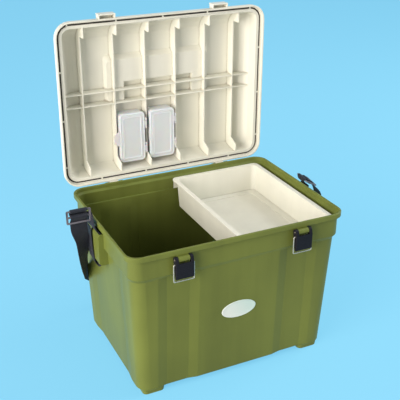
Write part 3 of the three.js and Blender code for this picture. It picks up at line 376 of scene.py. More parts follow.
@dataclass(frozen=True)
class WovenWebbing:
    """Polypropylene webbing with its ribs, picks and thicker selvedges."""

    name: str
    colour: Colour
    sheen: Colour
    rib_mm: float = 1.9
    pick_mm: float = 1.3
    width_mm: float = 34.0
    selvedge_mm: Pair = (2.4, 1.6)
    fuzz_scale: float = 1500.0
    worn_scale: float = 26.0
    worn_range: Pair = (0.45, 0.75)
    weave_depth: float = 0.00035

    def build(self) -> Material:
        """Makes the material; its map has the width and the length in metres.

        Returns:
            The finished material.
        """
        g = SurfaceGraph(self.name)
        across, along, _ = g.axes(g.woven())
        half_rib = math.pi / (self.rib_mm * MM)
        half_pick = math.pi / (self.pick_mm * MM)
        ribs = (across * half_rib).sine().size()
        odd = (across * (half_rib * 0.5)).sine().ramp(-0.2, 0.2)
        picks = (along * half_pick + odd * (math.pi / 2)).sine().size()
        edge = (across - self.width_mm * MM / 2).size()
        inner, outer = ((self.width_mm / 2 - reach) * MM for reach in self.selvedge_mm)
        selvedge = edge.ramp(inner, outer)
        height = (ribs ** 0.6) * 0.55 + picks * 0.35 + selvedge * 0.1
        fuzz = g.noise(g.place(), self.fuzz_scale)
        worn = g.noise(g.place(), self.worn_scale, detail=3.0).ramp(*self.worn_range)
        # Painted sheen: the raised yarn is coloured lighter, towards the sheen colour, and worn patches
        # take a lighter tint of it as real wear.
        yarn = g.mix(height * 0.8 + fuzz * 0.2, self.colour + (1.0,), self.sheen + (1.0,))
        g.set(Base_Color=g.mix(worn * 0.35, yarn, tint(self.sheen, 1.35)))
        g.set(Roughness=0.78 - 0.22 * height + 0.1 * (fuzz - 0.5))
        g.bump(height * 0.85 + fuzz * 0.15, strength=0.9, depth=self.weave_depth)
        g.set(Sheen_Weight=0.1, Sheen_Roughness=0.4, Specular_IOR_Level=0.2)
        return g.material


@dataclass(frozen=True)
class BrightSteel:
    """Drawn and plated steel wire and pins."""

    name: str
    colour: Colour
    roughness: float = 0.28
    metallic: float = 0.5
    drawn_axis: Point = (180.0, 1400.0, 180.0)
    spot_scale: float = 420.0
    spot_range: Pair = (0.6, 0.75)
    mark_depth: float = 0.00004

    def build(self) -> Material:
        """Makes the material.

        Returns:
            The finished material.
        """
        g = SurfaceGraph(self.name)
        at = g.place()
        drawn = g.noise(g.stretched(at, self.drawn_axis))
        spots = g.noise(at, self.spot_scale, detail=3.0).ramp(*self.spot_range)
        g.set(Base_Color=g.mix(spots * 0.35, tint(self.colour, 1.0), tint(self.colour, 0.72)))
        g.set(Roughness=self.roughness + 0.12 * (drawn - 0.5) + 0.15 * spots)
        g.set(Metallic=self.metallic)
        g.bump(drawn * 0.6 + spots * 0.4, strength=0.15, depth=self.mark_depth)
        return g.material


@dataclass(frozen=True)
class SealRubber:
    """Dull dark rubber with a pale, powdery bloom in patches."""

    name: str
    colour: Colour
    bloom_scale: float = 60.0
    bloom_range: Pair = (0.4, 0.75)
    grain_scale: float = 1300.0
    grain_depth: float = 0.00008

    def build(self) -> Material:
        """Makes the material.

        Returns:
            The finished material.
        """
        g = SurfaceGraph(self.name)
        at = g.place()
        bloom = g.noise(at, self.bloom_scale, detail=4.0, rough=0.6).ramp(*self.bloom_range)
        grain = g.noise(at, self.grain_scale)
        g.set(Base_Color=g.mix(bloom * 0.5, tint(self.colour, 0.8), tint(self.colour, 2.0)))
        g.set(Roughness=0.72 + 0.16 * (bloom - 0.5))
        g.bump(grain * 0.7 + bloom * 0.3, strength=0.35, depth=self.grain_depth)
        g.set(Specular_IOR_Level=0.3)
        return g.material


@dataclass(frozen=True)
class PearlPlate:
    """Smooth bare plate whose colour runs slantwise across its face, from pale to green-blue."""

    name: str
    colour: Colour
    shade: Colour
    middle_height: float = 0.154
    lean_across: float = 9.0
    lean_up: float = 6.0
    fleck_scale: float = 900.0
    fleck_depth: float = 0.00004

    def build(self) -> Material:
        """Makes the material.

        Returns:
            The finished material.
        """
        g = SurfaceGraph(self.name)
        at = g.place()
        x, _, z = g.axes(at)
        lean = (x * self.lean_across + (z - self.middle_height) * self.lean_up + 0.5).ramp(0.0, 1.0)
        fleck = g.noise(at, self.fleck_scale)
        g.set(Base_Color=g.mix(lean, self.colour + (1.0,), self.shade + (1.0,)))
        g.set(Roughness=0.3 + 0.1 * (fleck - 0.5))
        g.bump(fleck, strength=0.1, depth=self.fleck_depth)
        g.set(Coat_Weight=0.4, Coat_Roughness=0.12, Specular_IOR_Level=0.5)
        return g.material


class Finish(Enum):
    """The finishes of the seat box."""

    GREEN = MouldedPlastic(
        "green_moulding",
        (0.162, 0.19, 0.0395),
        roughness=0.42,
        mottle=0.16,
        flow_axis=(15.0, 15.0, 1.1),
        specular=0.2,
    )
    CREAM = MouldedPlastic(
        "cream_moulding",
        (0.84, 0.825, 0.725),
        roughness=0.44,
        mottle=0.045,
        flow_axis=(22.0, 22.0, 1.3),
        scuff=0.02,
        specular=0.3,
        # Painted shade in the cream's creases and beside its ribs.
        dust=0.5,
    )
    BLACK = MouldedPlastic(
        "black_moulding",
        (0.016, 0.014, 0.018),
        roughness=0.45,
        mottle=0.2,
        scuff=0.08,
        specular=0.12,
        ridge_mm=3.6,
    )
    SLIDER = MouldedPlastic(
        "slider_moulding", (0.15, 0.14, 0.165), roughness=0.34, mottle=0.1, specular=0.4
    )
    CLEAR = MilkyPlastic("milky_moulding", (0.88, 0.845, 0.86))
    # For the caps' beads: a lighter, less see-through copy of the milky moulding, partly the thicker
    # ridge's own milkiness and partly a painted highlight along the ridges.
    BEAD_HIGHLIGHT = MilkyPlastic("milky_bead_highlight", (0.97, 0.945, 0.965), see_through=0.02, depth=0.15)
    WEBBING = WovenWebbing("black_webbing", (0.006, 0.006, 0.009), (0.036, 0.036, 0.048))
    STEEL = BrightSteel("plated_steel", (0.56, 0.5, 0.42))
    RUBBER = SealRubber("seal_rubber", (0.045, 0.032, 0.026))
    PLATE = PearlPlate("oval_plate", (0.86, 0.88, 0.82), (0.62, 0.8, 0.74))


class Paint:
    """Builds each finish once and hands it out."""

    def __init__(self) -> None:
        """Starts with no materials."""
        self._made: dict[Finish, Material] = {}

    def __call__(self, finish: Finish) -> Material:
        """The material of a finish.

        Args:
            finish: the finish that is wanted.

        Returns:
            Its material, built on first use.
        """
        if finish not in self._made:
            self._made[finish] = finish.value.build()
        return self._made[finish]


# Mesh work


def new_object(name: str, mesh: Mesh) -> Object:
    """Puts a mesh into the scene.

    Args:
        name: the object's name.
        mesh: its mesh, in place.

    Returns:
        The object, at the origin.
    """
    made = bpy.data.objects.new(name, mesh)
    bpy.context.scene.collection.objects.link(made)
    return made


def mesh_of(name: str, points: Iterable[Sequence[float]], faces: Iterable[Sequence[int]]) -> Mesh:
    """Makes a mesh.

    Args:
        name: its name.
        points: its points.
        faces: the indices of each face's points.

    Returns:
        The mesh.
    """
    mesh = bpy.data.meshes.new(name)
    mesh.from_pydata([tuple(p) for p in points], [], [tuple(f) for f in faces])
    mesh.update()
    return mesh


def settle(made: Object) -> None:
    """Bakes an object's modifiers into its mesh.

    Args:
        made: the object, which keeps a plain mesh and no modifiers.
    """
    bpy.context.view_layer.update()
    graph = bpy.context.evaluated_depsgraph_get()
    mesh = bpy.data.meshes.new_from_object(made.evaluated_get(graph))
    made.modifiers.clear()
    old = made.data
    made.data = mesh
    mesh.name = made.name
    if old.users == 0:
        bpy.data.meshes.remove(old)


def smooth_by(mesh: Mesh, degrees: float) -> None:
    """Shades a mesh smooth but for edges sharper than an angle."""
    mesh.shade_smooth()
    mesh.set_sharp_from_angle(angle=math.radians(degrees))


def broad_creases(work: bmesh.types.BMesh, low: float, high: float, broad: float) -> set[int]:
    """Edges of a shallow angle that lie between two broad flat faces.

    Args:
        work: the merged mesh.
        low: the smallest angle in degrees.
        high: the largest angle in degrees.
        broad: how wide both flat faces must be, in metres.

    Returns:
        The indices of the edges.
    """
    work.edges.index_update()
    work.faces.index_update()
    region = [-1] * len(work.faces)
    widths: list[float] = []
    for first in work.faces:
        if region[first.index] >= 0:
            continue
        number, area, stack, reach = len(widths), 0.0, [first], []
        region[first.index] = number
        while stack:
            face = stack.pop()
            area += face.calc_area()
            reach.extend(v.co for v in face.verts)
            for edge in face.edges:
                if edge.calc_face_angle(math.pi) > math.radians(FLAT_DEG):
                    continue
                for other in edge.link_faces:
                    if region[other.index] < 0:
                        region[other.index] = number
                        stack.append(other)
        spread = np.array(reach)
        length = float(np.linalg.norm(spread.max(axis=0) - spread.min(axis=0)))
        widths.append(area / max(length, SAME_POINT))
    found = set()
    for edge in work.edges:
        if len(edge.link_faces) != 2:
            continue
        angle = math.degrees(edge.calc_face_angle(0.0))
        if low < angle < high:
            if all(widths[region[f.index]] > broad for f in edge.link_faces):
                found.add(edge.index)
    return found


def moulded_copy(
    node: str,
    name: str,
    material: Material,
    edge_mm: float,
    crease_mm: float = 1.6,
) -> Object:
    """A rigid piece in the shape of its frame node, with its faces merged and its edges eased.

    Args:
        node: the frame node that it stands for.
        name: the new object's name.
        material: its finish.
        edge_mm: the radius of the eased sharp edges.
        crease_mm: the radius of the shallow creases between broad faces.

    Returns:
        The new object, in the node's place.
    """
    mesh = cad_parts[node].data.copy()
    mesh.materials.clear()
    work = bmesh.new()
    work.from_mesh(mesh)
    bmesh.ops.remove_doubles(work, verts=work.verts, dist=SAME_CORNER)
    creases = broad_creases(work, CREASE_DEG, SHARP_DEG, BROAD_FACE)
    weight = work.edges.layers.float.new("bevel_weight_edge")
    for edge in work.edges:
        if edge.index in creases:
            edge[weight] = 1.0
        elif edge.calc_face_angle(0.0) >= math.radians(SHARP_DEG):
            edge[weight] = edge_mm / crease_mm
    for face in work.faces:
        face.smooth = True
    work.to_mesh(mesh)
    work.free()
    made = new_object(name, mesh)
    bevel = made.modifiers.new("eased_edges", "BEVEL")
    bevel.width = crease_mm * MM
    bevel.segments = EDGE_SEGMENTS
    bevel.limit_method = "WEIGHT"
    bevel.use_clamp_overlap = False
    bevel.miter_outer = "MITER_ARC"
    settle(made)
    smooth_by(made.data, SOFT_DEG)
    even = made.modifiers.new("even_normals", "WEIGHTED_NORMAL")
    even.mode = "FACE_AREA"
    even.weight = FLAT_WEIGHT
    even.keep_sharp = True
    settle(made)
    made.data.materials.append(material)
    return made


def painted_node(node: str, material: Material) -> None:
    """Gives a frame node its finish and leaves its mesh as it is.

    Args:
        node: the frame node.
        material: its finish.
    """
    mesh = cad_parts[node].data
    mesh.materials.clear()
    mesh.materials.append(material)


def round_rectangle(half_width: float, half_height: float, radius: float, steps: int) -> Outline:
    """A rectangle with round corners about the origin.

    Args:
        half_width: half its width.
        half_height: half its height.
        radius: its corners' radius.
        steps: the steps in each corner.

    Returns:
        Its points, once round.
    """
    x, y = half_width - radius, half_height - radius
    found = []
    for cx, cy, start in ((x, -y, -90), (x, y, 0), (-x, y, 90), (-x, -y, 180)):
        for i in range(steps + 1):
            a = math.radians(start + 90 * i / steps)
            found.append((cx + radius * math.cos(a), cy + radius * math.sin(a)))
    return found


def tube_faces(rings: int, count: int) -> list[tuple[int, ...]]:
    """Faces that join rings of points into a closed form.

    Args:
        rings: how many rings there are.
        count: the points of each ring.

    Returns:
        The faces between the rings and the two end faces.
    """
    faces = []
    for k in range(rings - 1):
        for i in range(count):
            a, b = k * count + i, k * count + (i + 1) % count
            faces.append((a, b, b + count, a + count))
    last = (rings - 1) * count
    faces.append(tuple(reversed(range(count))))
    faces.append(tuple(range(last, last + count)))
    return faces


def wired(tree: NodeTree, *chain: Node) -> None:
    """Links each node's first output to the next node's first input."""
    for before, after in zip(chain, chain[1:]):
        tree.links.new(before.outputs[0], after.inputs[0])


class FormTree:
    """A Geometry Nodes tree whose inputs are set by name before it is baked."""

    def __init__(self, name: str, **inputs: str) -> None:
        """Makes the tree's sockets.

        Args:
            name: the tree's name.
            inputs: the kind of each input socket, by the socket's name.
        """
        self.tree = bpy.data.node_groups.new(name, "GeometryNodeTree")
        face = self.tree.interface
        face.new_socket("Geometry", in_out="INPUT", socket_type="NodeSocketGeometry")
        for word, kind in inputs.items():
            face.new_socket(word, in_out="INPUT", socket_type=f"NodeSocket{kind}")
        face.new_socket("Finish", in_out="INPUT", socket_type="NodeSocketMaterial")
        face.new_socket("Geometry", in_out="OUTPUT", socket_type="NodeSocketGeometry")
        self.source = self.add("NodeGroupInput")
        self.target = self.add("NodeGroupOutput")

    def add(self, kind: str) -> Node:
        """Adds a node of a kind."""
        return self.tree.nodes.new(kind)

    def feed(self, word: str, socket: NodeSocket) -> None:
        """Links one of the tree's inputs to a socket."""
        self.tree.links.new(self.source.outputs[word], socket)

    def finish(self, last: Node) -> None:
        """Ends the tree with plain geometry that has its material.

        Args:
            last: the node that makes the geometry.
        """
        paint = self.add("GeometryNodeSetMaterial")
        real = self.add("GeometryNodeRealizeInstances")
        wired(self.tree, last, real, paint, self.target)
        self.feed("Finish", paint.inputs["Material"])

    def baked(self, name: str, route: Sequence[Point], closed: bool, **values: object) -> Object:
        """Runs the tree on a route.

        Args:
            name: the new object's name.
            route: the route's points.
            closed: whether the route ends where it starts.
            values: the tree's inputs, by name.

        Returns:
            The new object with a plain mesh.
        """
        mesh = bpy.data.meshes.new(name)
        count = len(route)
        edges = [(i, (i + 1) % count) for i in range(count if closed else count - 1)]
        mesh.from_pydata([tuple(p) for p in route], edges, [])
        made = new_object(name, mesh)
        modifier = made.modifiers.new("form", "NODES")
        modifier.node_group = self.tree
        for item in self.tree.interface.items_tree:
            if item.in_out == "INPUT" and item.name in values:
                modifier[item.identifier] = values[item.name]
        settle(made)
        recalculated(made.data)
        return made


class StudTree(FormTree):
    """Sets small blocks along a route at even steps."""

    def __init__(self, name: str) -> None:
        """Builds the tree.

        Args:
            name: the tree's name.
        """
        super().__init__(name, Count="Int", Size="Vector")
        curve = self.add("GeometryNodeMeshToCurve")
        even = self.add("GeometryNodeResampleCurve")
        block = self.add("GeometryNodeMeshCube")
        place = self.add("GeometryNodeInstanceOnPoints")
        wired(self.tree, self.source, curve, even, place)
        self.feed("Count", even.inputs["Count"])
        self.feed("Size", block.inputs["Size"])
        self.tree.links.new(block.outputs[0], place.inputs["Instance"])
        self.finish(place)

    def row(
        self, name: str, route: Sequence[Point], count: int, size: Point, material: Material
    ) -> Object:
        """Sets a number of blocks of one size round a closed route, as one plain mesh."""
        return self.baked(name, route, True, Count=count, Size=size, Finish=material)


class SweepTree(FormTree):
    """Sweeps a round section along a route."""

    def __init__(self, name: str) -> None:
        """Builds the tree.

        Args:
            name: the tree's name.
        """
        super().__init__(name, Radius="Float", Sides="Int")
        curve = self.add("GeometryNodeMeshToCurve")
        circle = self.add("GeometryNodeCurvePrimitiveCircle")
        along = self.add("GeometryNodeCurveToMesh")
        along.inputs["Fill Caps"].default_value = True
        smooth = self.add("GeometryNodeSetShadeSmooth")
        wired(self.tree, self.source, curve, along, smooth)
        self.feed("Radius", circle.inputs["Radius"])
        self.feed("Sides", circle.inputs["Resolution"])
        self.tree.links.new(circle.outputs[0], along.inputs["Profile Curve"])
        self.finish(smooth)

    def sweep(
        self,
        name: str,
        route: Sequence[Point],
        closed: bool,
        radius: float,
        sides: int,
        material: Material,
    ) -> Object:
        """Sweeps a round section along a route, closed or not, as one plain mesh."""
        return self.baked(name, route, closed, Radius=radius, Sides=sides, Finish=material)


def recalculated(mesh: Mesh) -> None:
    """Merges a closed mesh's doubles and turns its faces outwards.

    Args:
        mesh: the mesh that is changed.
    """
    work = bmesh.new()
    work.from_mesh(mesh)
    bmesh.ops.remove_doubles(work, verts=work.verts, dist=SAME_POINT)
    bmesh.ops.recalc_face_normals(work, faces=work.faces)
    work.to_mesh(mesh)
    work.free()


def joined(name: str, pieces: Sequence[Object]) -> Object:
    """Joins plain meshes into one object.

    Args:
        name: the joined object's name.
        pieces: the objects, each with a plain mesh, which are used up.

    Returns:
        The joined object.
    """
    work = bmesh.new()
    materials: list[Material] = []
    for piece in pieces:
        start = len(work.faces)
        work.from_mesh(piece.data)
        work.faces.ensure_lookup_table()
        own = list(piece.data.materials)
        for face in work.faces[start:]:
            material = own[face.material_index] if own else None
            if material not in materials:
                materials.append(material)
            face.material_index = materials.index(material)
    mesh = bpy.data.meshes.new(name)
    work.to_mesh(mesh)
    work.free()
    for material in materials:
        mesh.materials.append(material)
    for piece in pieces:
        old = piece.data
        bpy.data.objects.remove(piece)
        if old.users == 0:
            bpy.data.meshes.remove(old)
    return new_object(name, mesh)


def seat(made: Object, body: str, slot: str, *nodes: str) -> None:
    """Lets a finished piece ride and stand for its nodes.

    Args:
        made: the finished piece.
        body: the frame body that carries it.
        slot: the record's material slot; not used.
        nodes: the frame nodes that it stands for.
    """
    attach(made, body)
    if nodes:
        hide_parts(*nodes)
    LOG.info("%s rides on %s: %d faces", made.name, body, len(made.data.polygons))


# Sub-assemblies


@dataclass(frozen=True)
class Sizes:
    """Sizes in millimetres that several sub-assemblies share, from the tub's own middle."""

    rim_half_width: float = 233.3
    rim_half_depth: float = 172.6
    rim_top: float = 324.2
    hinge_y: float = 183.6
    hinge_z: float = 313.15
    lid_half_width: float = 238.0
    lid_half_depth: float = 177.3
    lid_underside: float = 324.5

    def opened(self, x: float, y: float, z: float) -> Point:
        """A point of the closed lid, in the place that it has with the lid open.

        The numbers are millimetres from the tub's middle.

        Args:
            x: place along the front.
            y: place towards the back, lid closed.
            z: height, lid closed.

        Returns:
            The point in metres, in the frame's own space.
        """
        back = self.hinge_y + (z - self.hinge_z)
        height = self.hinge_z - (y - self.hinge_y)
        return self.point(x, back, height)

    @staticmethod
    def point(x: float, y: float, z: float) -> Point:
        """Millimetres from the tub's middle as a point in metres, in the frame's own space."""
        return (x * MM, (y + SHIFT_Y_MM) * MM, z * MM)


SIZES = Sizes()


class Side(Enum):
    """The box's two sides, each with the sign of its x."""

    LEFT = -1
    RIGHT = 1

    @property
    def word(self) -> str:
        """The side's name as the frame spells it."""
        return self.name.lower()


@dataclass
class Tub:
    """Green body with its rim, collar, recesses, lugs and feet, and the oval plate."""

    edge_mm: float = 0.45
    crease_mm: float = 1.8
    plate_half_width_mm: float = 38.0
    plate_half_height_mm: float = 19.0
    plate_thickness_mm: float = 1.2
    plate_steps: int = 96
    plate_soft_deg: float = 40.0
    plate_rings: Rows = (
        (1.0, 0.0), (1.0, 0.55), (0.985, 0.85), (0.955, 1.0), (0.925, 0.97),
        (0.9, 0.78), (0.7, 0.86), (0.4, 0.93), (0.15, 0.96),
    )

    def build(self, paint: Paint) -> None:
        """Makes the tub and its plate.

        Args:
            paint: hands out the finishes.
        """
        tub = moulded_copy("tub", "tub_shell", paint(Finish.GREEN), self.edge_mm, self.crease_mm)
        seat(tub, "tub_body", "green_plastic", "tub")
        self._plate(paint)

    def _plate(self, paint: Paint) -> None:
        """The bare oval plate: a crowned face inside a fine raised border.

        Args:
            paint: hands out the finishes.
        """
        lo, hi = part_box("front_label")
        low, high = Vector(lo), Vector(hi)
        lean = math.atan2(high.y - low.y - self.plate_thickness_mm * MM, high.z - low.z)
        middle = (low + high) / 2
        across = Vector((1, 0, 0))
        up = Vector((0, -math.sin(lean), math.cos(lean)))
        out = Vector((0, -math.cos(lean), -math.sin(lean)))
        base = middle - out * (self.plate_thickness_mm * MM / 2)
        points = []
        for share, lift in self.plate_rings:
            for i in range(self.plate_steps):
                a = 2 * math.pi * i / self.plate_steps
                p = base + across * (math.cos(a) * self.plate_half_width_mm * share * MM)
                p = p + up * (math.sin(a) * self.plate_half_height_mm * share * MM)
                points.append(p + out * (lift * self.plate_thickness_mm * MM))
        faces = tube_faces(len(self.plate_rings), self.plate_steps)
        made = new_object("oval_plate", mesh_of("oval_plate", points, faces))
        recalculated(made.data)
        smooth_by(made.data, self.plate_soft_deg)
        made.data.materials.append(paint(Finish.PLATE))
        seat(made, "tub_body", "label_plate", "front_label")


@dataclass
class Lid:
    """Cream lid with its ribs and catches, the rubber seal and the hinge pins."""

    edge_mm: float = 0.4
    seal_inset_mm: float = 7.35
    seal_radius_mm: float = 1.35
    seal_corner_mm: float = 25.35
    seal_lift_mm: float = 1.42
    seal_sides: int = 12
    corner_steps: int = 12
    keeper_count: int = 15
    keeper_mm: Point = (3.6, 1.7, 3.6)
    keeper_lift_mm: float = 0.9

    def build(self, paint: Paint, sweep: SweepTree, studs: StudTree) -> None:
        """Makes the lid, its seal with the small keepers across it, and the pins.

        Args:
            paint: hands out the finishes.
            sweep: sweeps round sections.
            studs: sets blocks along a route.
        """
        lid = moulded_copy("lid", "lid_shell", paint(Finish.CREAM), self.edge_mm)
        seat(lid, "lid_body", "cream_plastic", "lid")
        seal = sweep.sweep(
            "seal_cord",
            self._seal_route(self.seal_lift_mm),
            True,
            self.seal_radius_mm * MM,
            self.seal_sides,
            paint(Finish.RUBBER),
        )
        seat(seal, "lid_body", "seal_rubber", "lid_seal")
        keepers = studs.row(
            "seal_keepers",
            self._seal_route(self.keeper_lift_mm),
            self.keeper_count,
            tuple(v * MM for v in self.keeper_mm),
            paint(Finish.CREAM),
        )
        seat(keepers, "lid_body", "cream_plastic")
        for side in Side:
            painted_node(f"{side.word}_hinge_pin", paint(Finish.STEEL))

    def _seal_route(self, lift: float) -> list[Point]:
        """The groove's middle line, in the open lid.

        Args:
            lift: its height above the lid's underside, in millimetres.

        Returns:
            The route's points.
        """
        corners = round_rectangle(
            SIZES.lid_half_width - self.seal_inset_mm,
            SIZES.lid_half_depth - self.seal_inset_mm,
            self.seal_corner_mm,
            self.corner_steps,
        )
        return [SIZES.opened(x, y, SIZES.lid_underside + lift) for x, y in corners]


@dataclass
class Tray:
    """Loose cream tray on the ledge."""

    edge_mm: float = 0.5

    def build(self, paint: Paint) -> None:
        """Makes the tray."""
        tray = moulded_copy("tray", "lift_out_tray", paint(Finish.CREAM), self.edge_mm)
        seat(tray, "tray_body", "cream_plastic", "tray")


@dataclass
class TackleBoxes:
    """The two small milky boxes in the lid, each with a beaded cap."""

    edge_mm: float = 0.3
    middles_mm: Pair = (-72.2, -1.0)
    cap_half_mm: Pair = (30.3, 57.0)
    cap_middle_z_mm: float = 403.0
    cap_face_y_mm: float = 212.65
    corner_mm: float = 9.8
    least_corner_mm: float = 3.0
    corner_steps: int = 6
    bead_sides: int = 10
    beads_mm: Sequence[tuple[float, float, float]] = ((3.2, 1.8, 1.1), (10.2, 1.2, 0.35))

    def build(self, paint: Paint, sweep: SweepTree) -> None:
        """Makes both boxes and their caps.

        Args:
            paint: hands out the finishes.
            sweep: sweeps round sections.
        """
        # The beads take the lighter milky finish, partly a painted highlight.
        clear, bead_highlight = paint(Finish.CLEAR), paint(Finish.BEAD_HIGHLIGHT)
        for side, middle in zip(Side, self.middles_mm):
            word = side.word
            base = moulded_copy(f"{word}_box_base", f"{word}_box_base_shell", clear, self.edge_mm)
            seat(base, f"{word}_box_body", "clear_plastic", f"{word}_box_base")
            pieces = [moulded_copy(f"{word}_box_cap", f"{word}_cap_plate", clear, self.edge_mm)]
            for inset, radius, sunk in self.beads_mm:
                name = f"{word}_cap_bead_{len(pieces)}"
                route = self._bead_route(middle, inset, sunk)
                pieces.append(sweep.sweep(name, route, True, radius * MM, self.bead_sides, bead_highlight))
            cap = joined(f"{word}_box_cap_shell", pieces)
            seat(cap, f"{word}_cap_body", "clear_plastic", f"{word}_box_cap")

    def _bead_route(self, middle: float, inset: float, sunk: float) -> list[Point]:
        """The middle line of a bead that runs round the cap, from sizes in millimetres.

        Args:
            middle: the box's place along the front.
            inset: the bead's distance from the cap's edge.
            sunk: how deep the line lies below the cap's face.

        Returns:
            The route's points.
        """
        half_width, half_height = (half - inset for half in self.cap_half_mm)
        radius = max(self.corner_mm - inset, self.least_corner_mm)
        face = self.cap_face_y_mm + sunk
        corners = round_rectangle(half_width, half_height, radius, self.corner_steps)
        return [SIZES.point(middle + x, face, self.cap_middle_z_mm + z) for x, z in corners]


@dataclass
class Latches:
    """Black levers, their pins and the wire bails."""

    edge_mm: float = 0.5
    middle_mm: float = 128.0
    bail_half_mm: float = 20.65
    bail_length_mm: float = 36.0
    bail_tip_mm: float = 14.8
    bail_corner_mm: float = 2.8
    wire_radius_mm: float = 1.25
    wire_sides: int = 16
    pivot_y_mm: float = -178.0
    pivot_z_mm: float = 298.0
    corner_steps: int = 8

    def build(self, paint: Paint, sweep: SweepTree) -> None:
        """Makes both latches.

        Args:
            paint: hands out the finishes.
            sweep: sweeps round sections.
        """
        black, steel = paint(Finish.BLACK), paint(Finish.STEEL)
        radius = self.wire_radius_mm * MM
        for side in Side:
            word = side.word
            lever = moulded_copy(f"{word}_latch_lever", f"{word}_lever", black, self.edge_mm)
            seat(lever, f"{word}_lever_body", "black_plastic", f"{word}_latch_lever")
            route = self._bail_route(side)
            bail = sweep.sweep(f"{word}_wire_bail", route, False, radius, self.wire_sides, steel)
            seat(bail, f"{word}_bail_body", "steel", f"{word}_latch_bail")
            painted_node(f"{word}_latch_pin", steel)

    def _bail_route(self, side: Side) -> list[Point]:
        """The wire's middle line with round corners.

        Args:
            side: the latch's side.

        Returns:
            The route's points.
        """
        low = self.pivot_z_mm - self.bail_length_mm
        corners = [
            (-self.bail_tip_mm, self.pivot_z_mm),
            (-self.bail_half_mm, self.pivot_z_mm),
            (-self.bail_half_mm, low),
            (self.bail_half_mm, low),
            (self.bail_half_mm, self.pivot_z_mm),
            (self.bail_tip_mm, self.pivot_z_mm),
        ]
        route = [Vector(corners[0])]
        for before, corner, after in zip(corners, corners[1:], corners[2:]):
            c = Vector(corner)
            a = c + (Vector(before) - c).normalized() * self.bail_corner_mm
            b = c + (Vector(after) - c).normalized() * self.bail_corner_mm
            for i in range(self.corner_steps + 1):
                t = i / self.corner_steps
                route.append(a * (1 - t) ** 2 + c * (2 * t * (1 - t)) + b * t ** 2)
        route.append(Vector(corners[-1]))
        middle = side.value * self.middle_mm
        return [SIZES.point(middle + p.x, self.pivot_y_mm, p.y) for p in route]


@dataclass(frozen=True)
class Stop:
    """A stop on a webbing's route: a place and the direction of the width."""

    at: Vector
    across: Vector


@dataclass(frozen=True)
class Stance:
    """Where a buckle stands: its middle, and the directions of its width, height and back."""

    middle: Vector
    across: Vector
    up: Vector
    back: Vector

    def stop(self, up_mm: float, back_mm: float) -> Stop:
        """A stop inside the buckle, by height and depth from the buckle's middle."""
        at = self.middle + self.up * (up_mm * MM) + self.back * (back_mm * MM)
        return Stop(at, self.across)


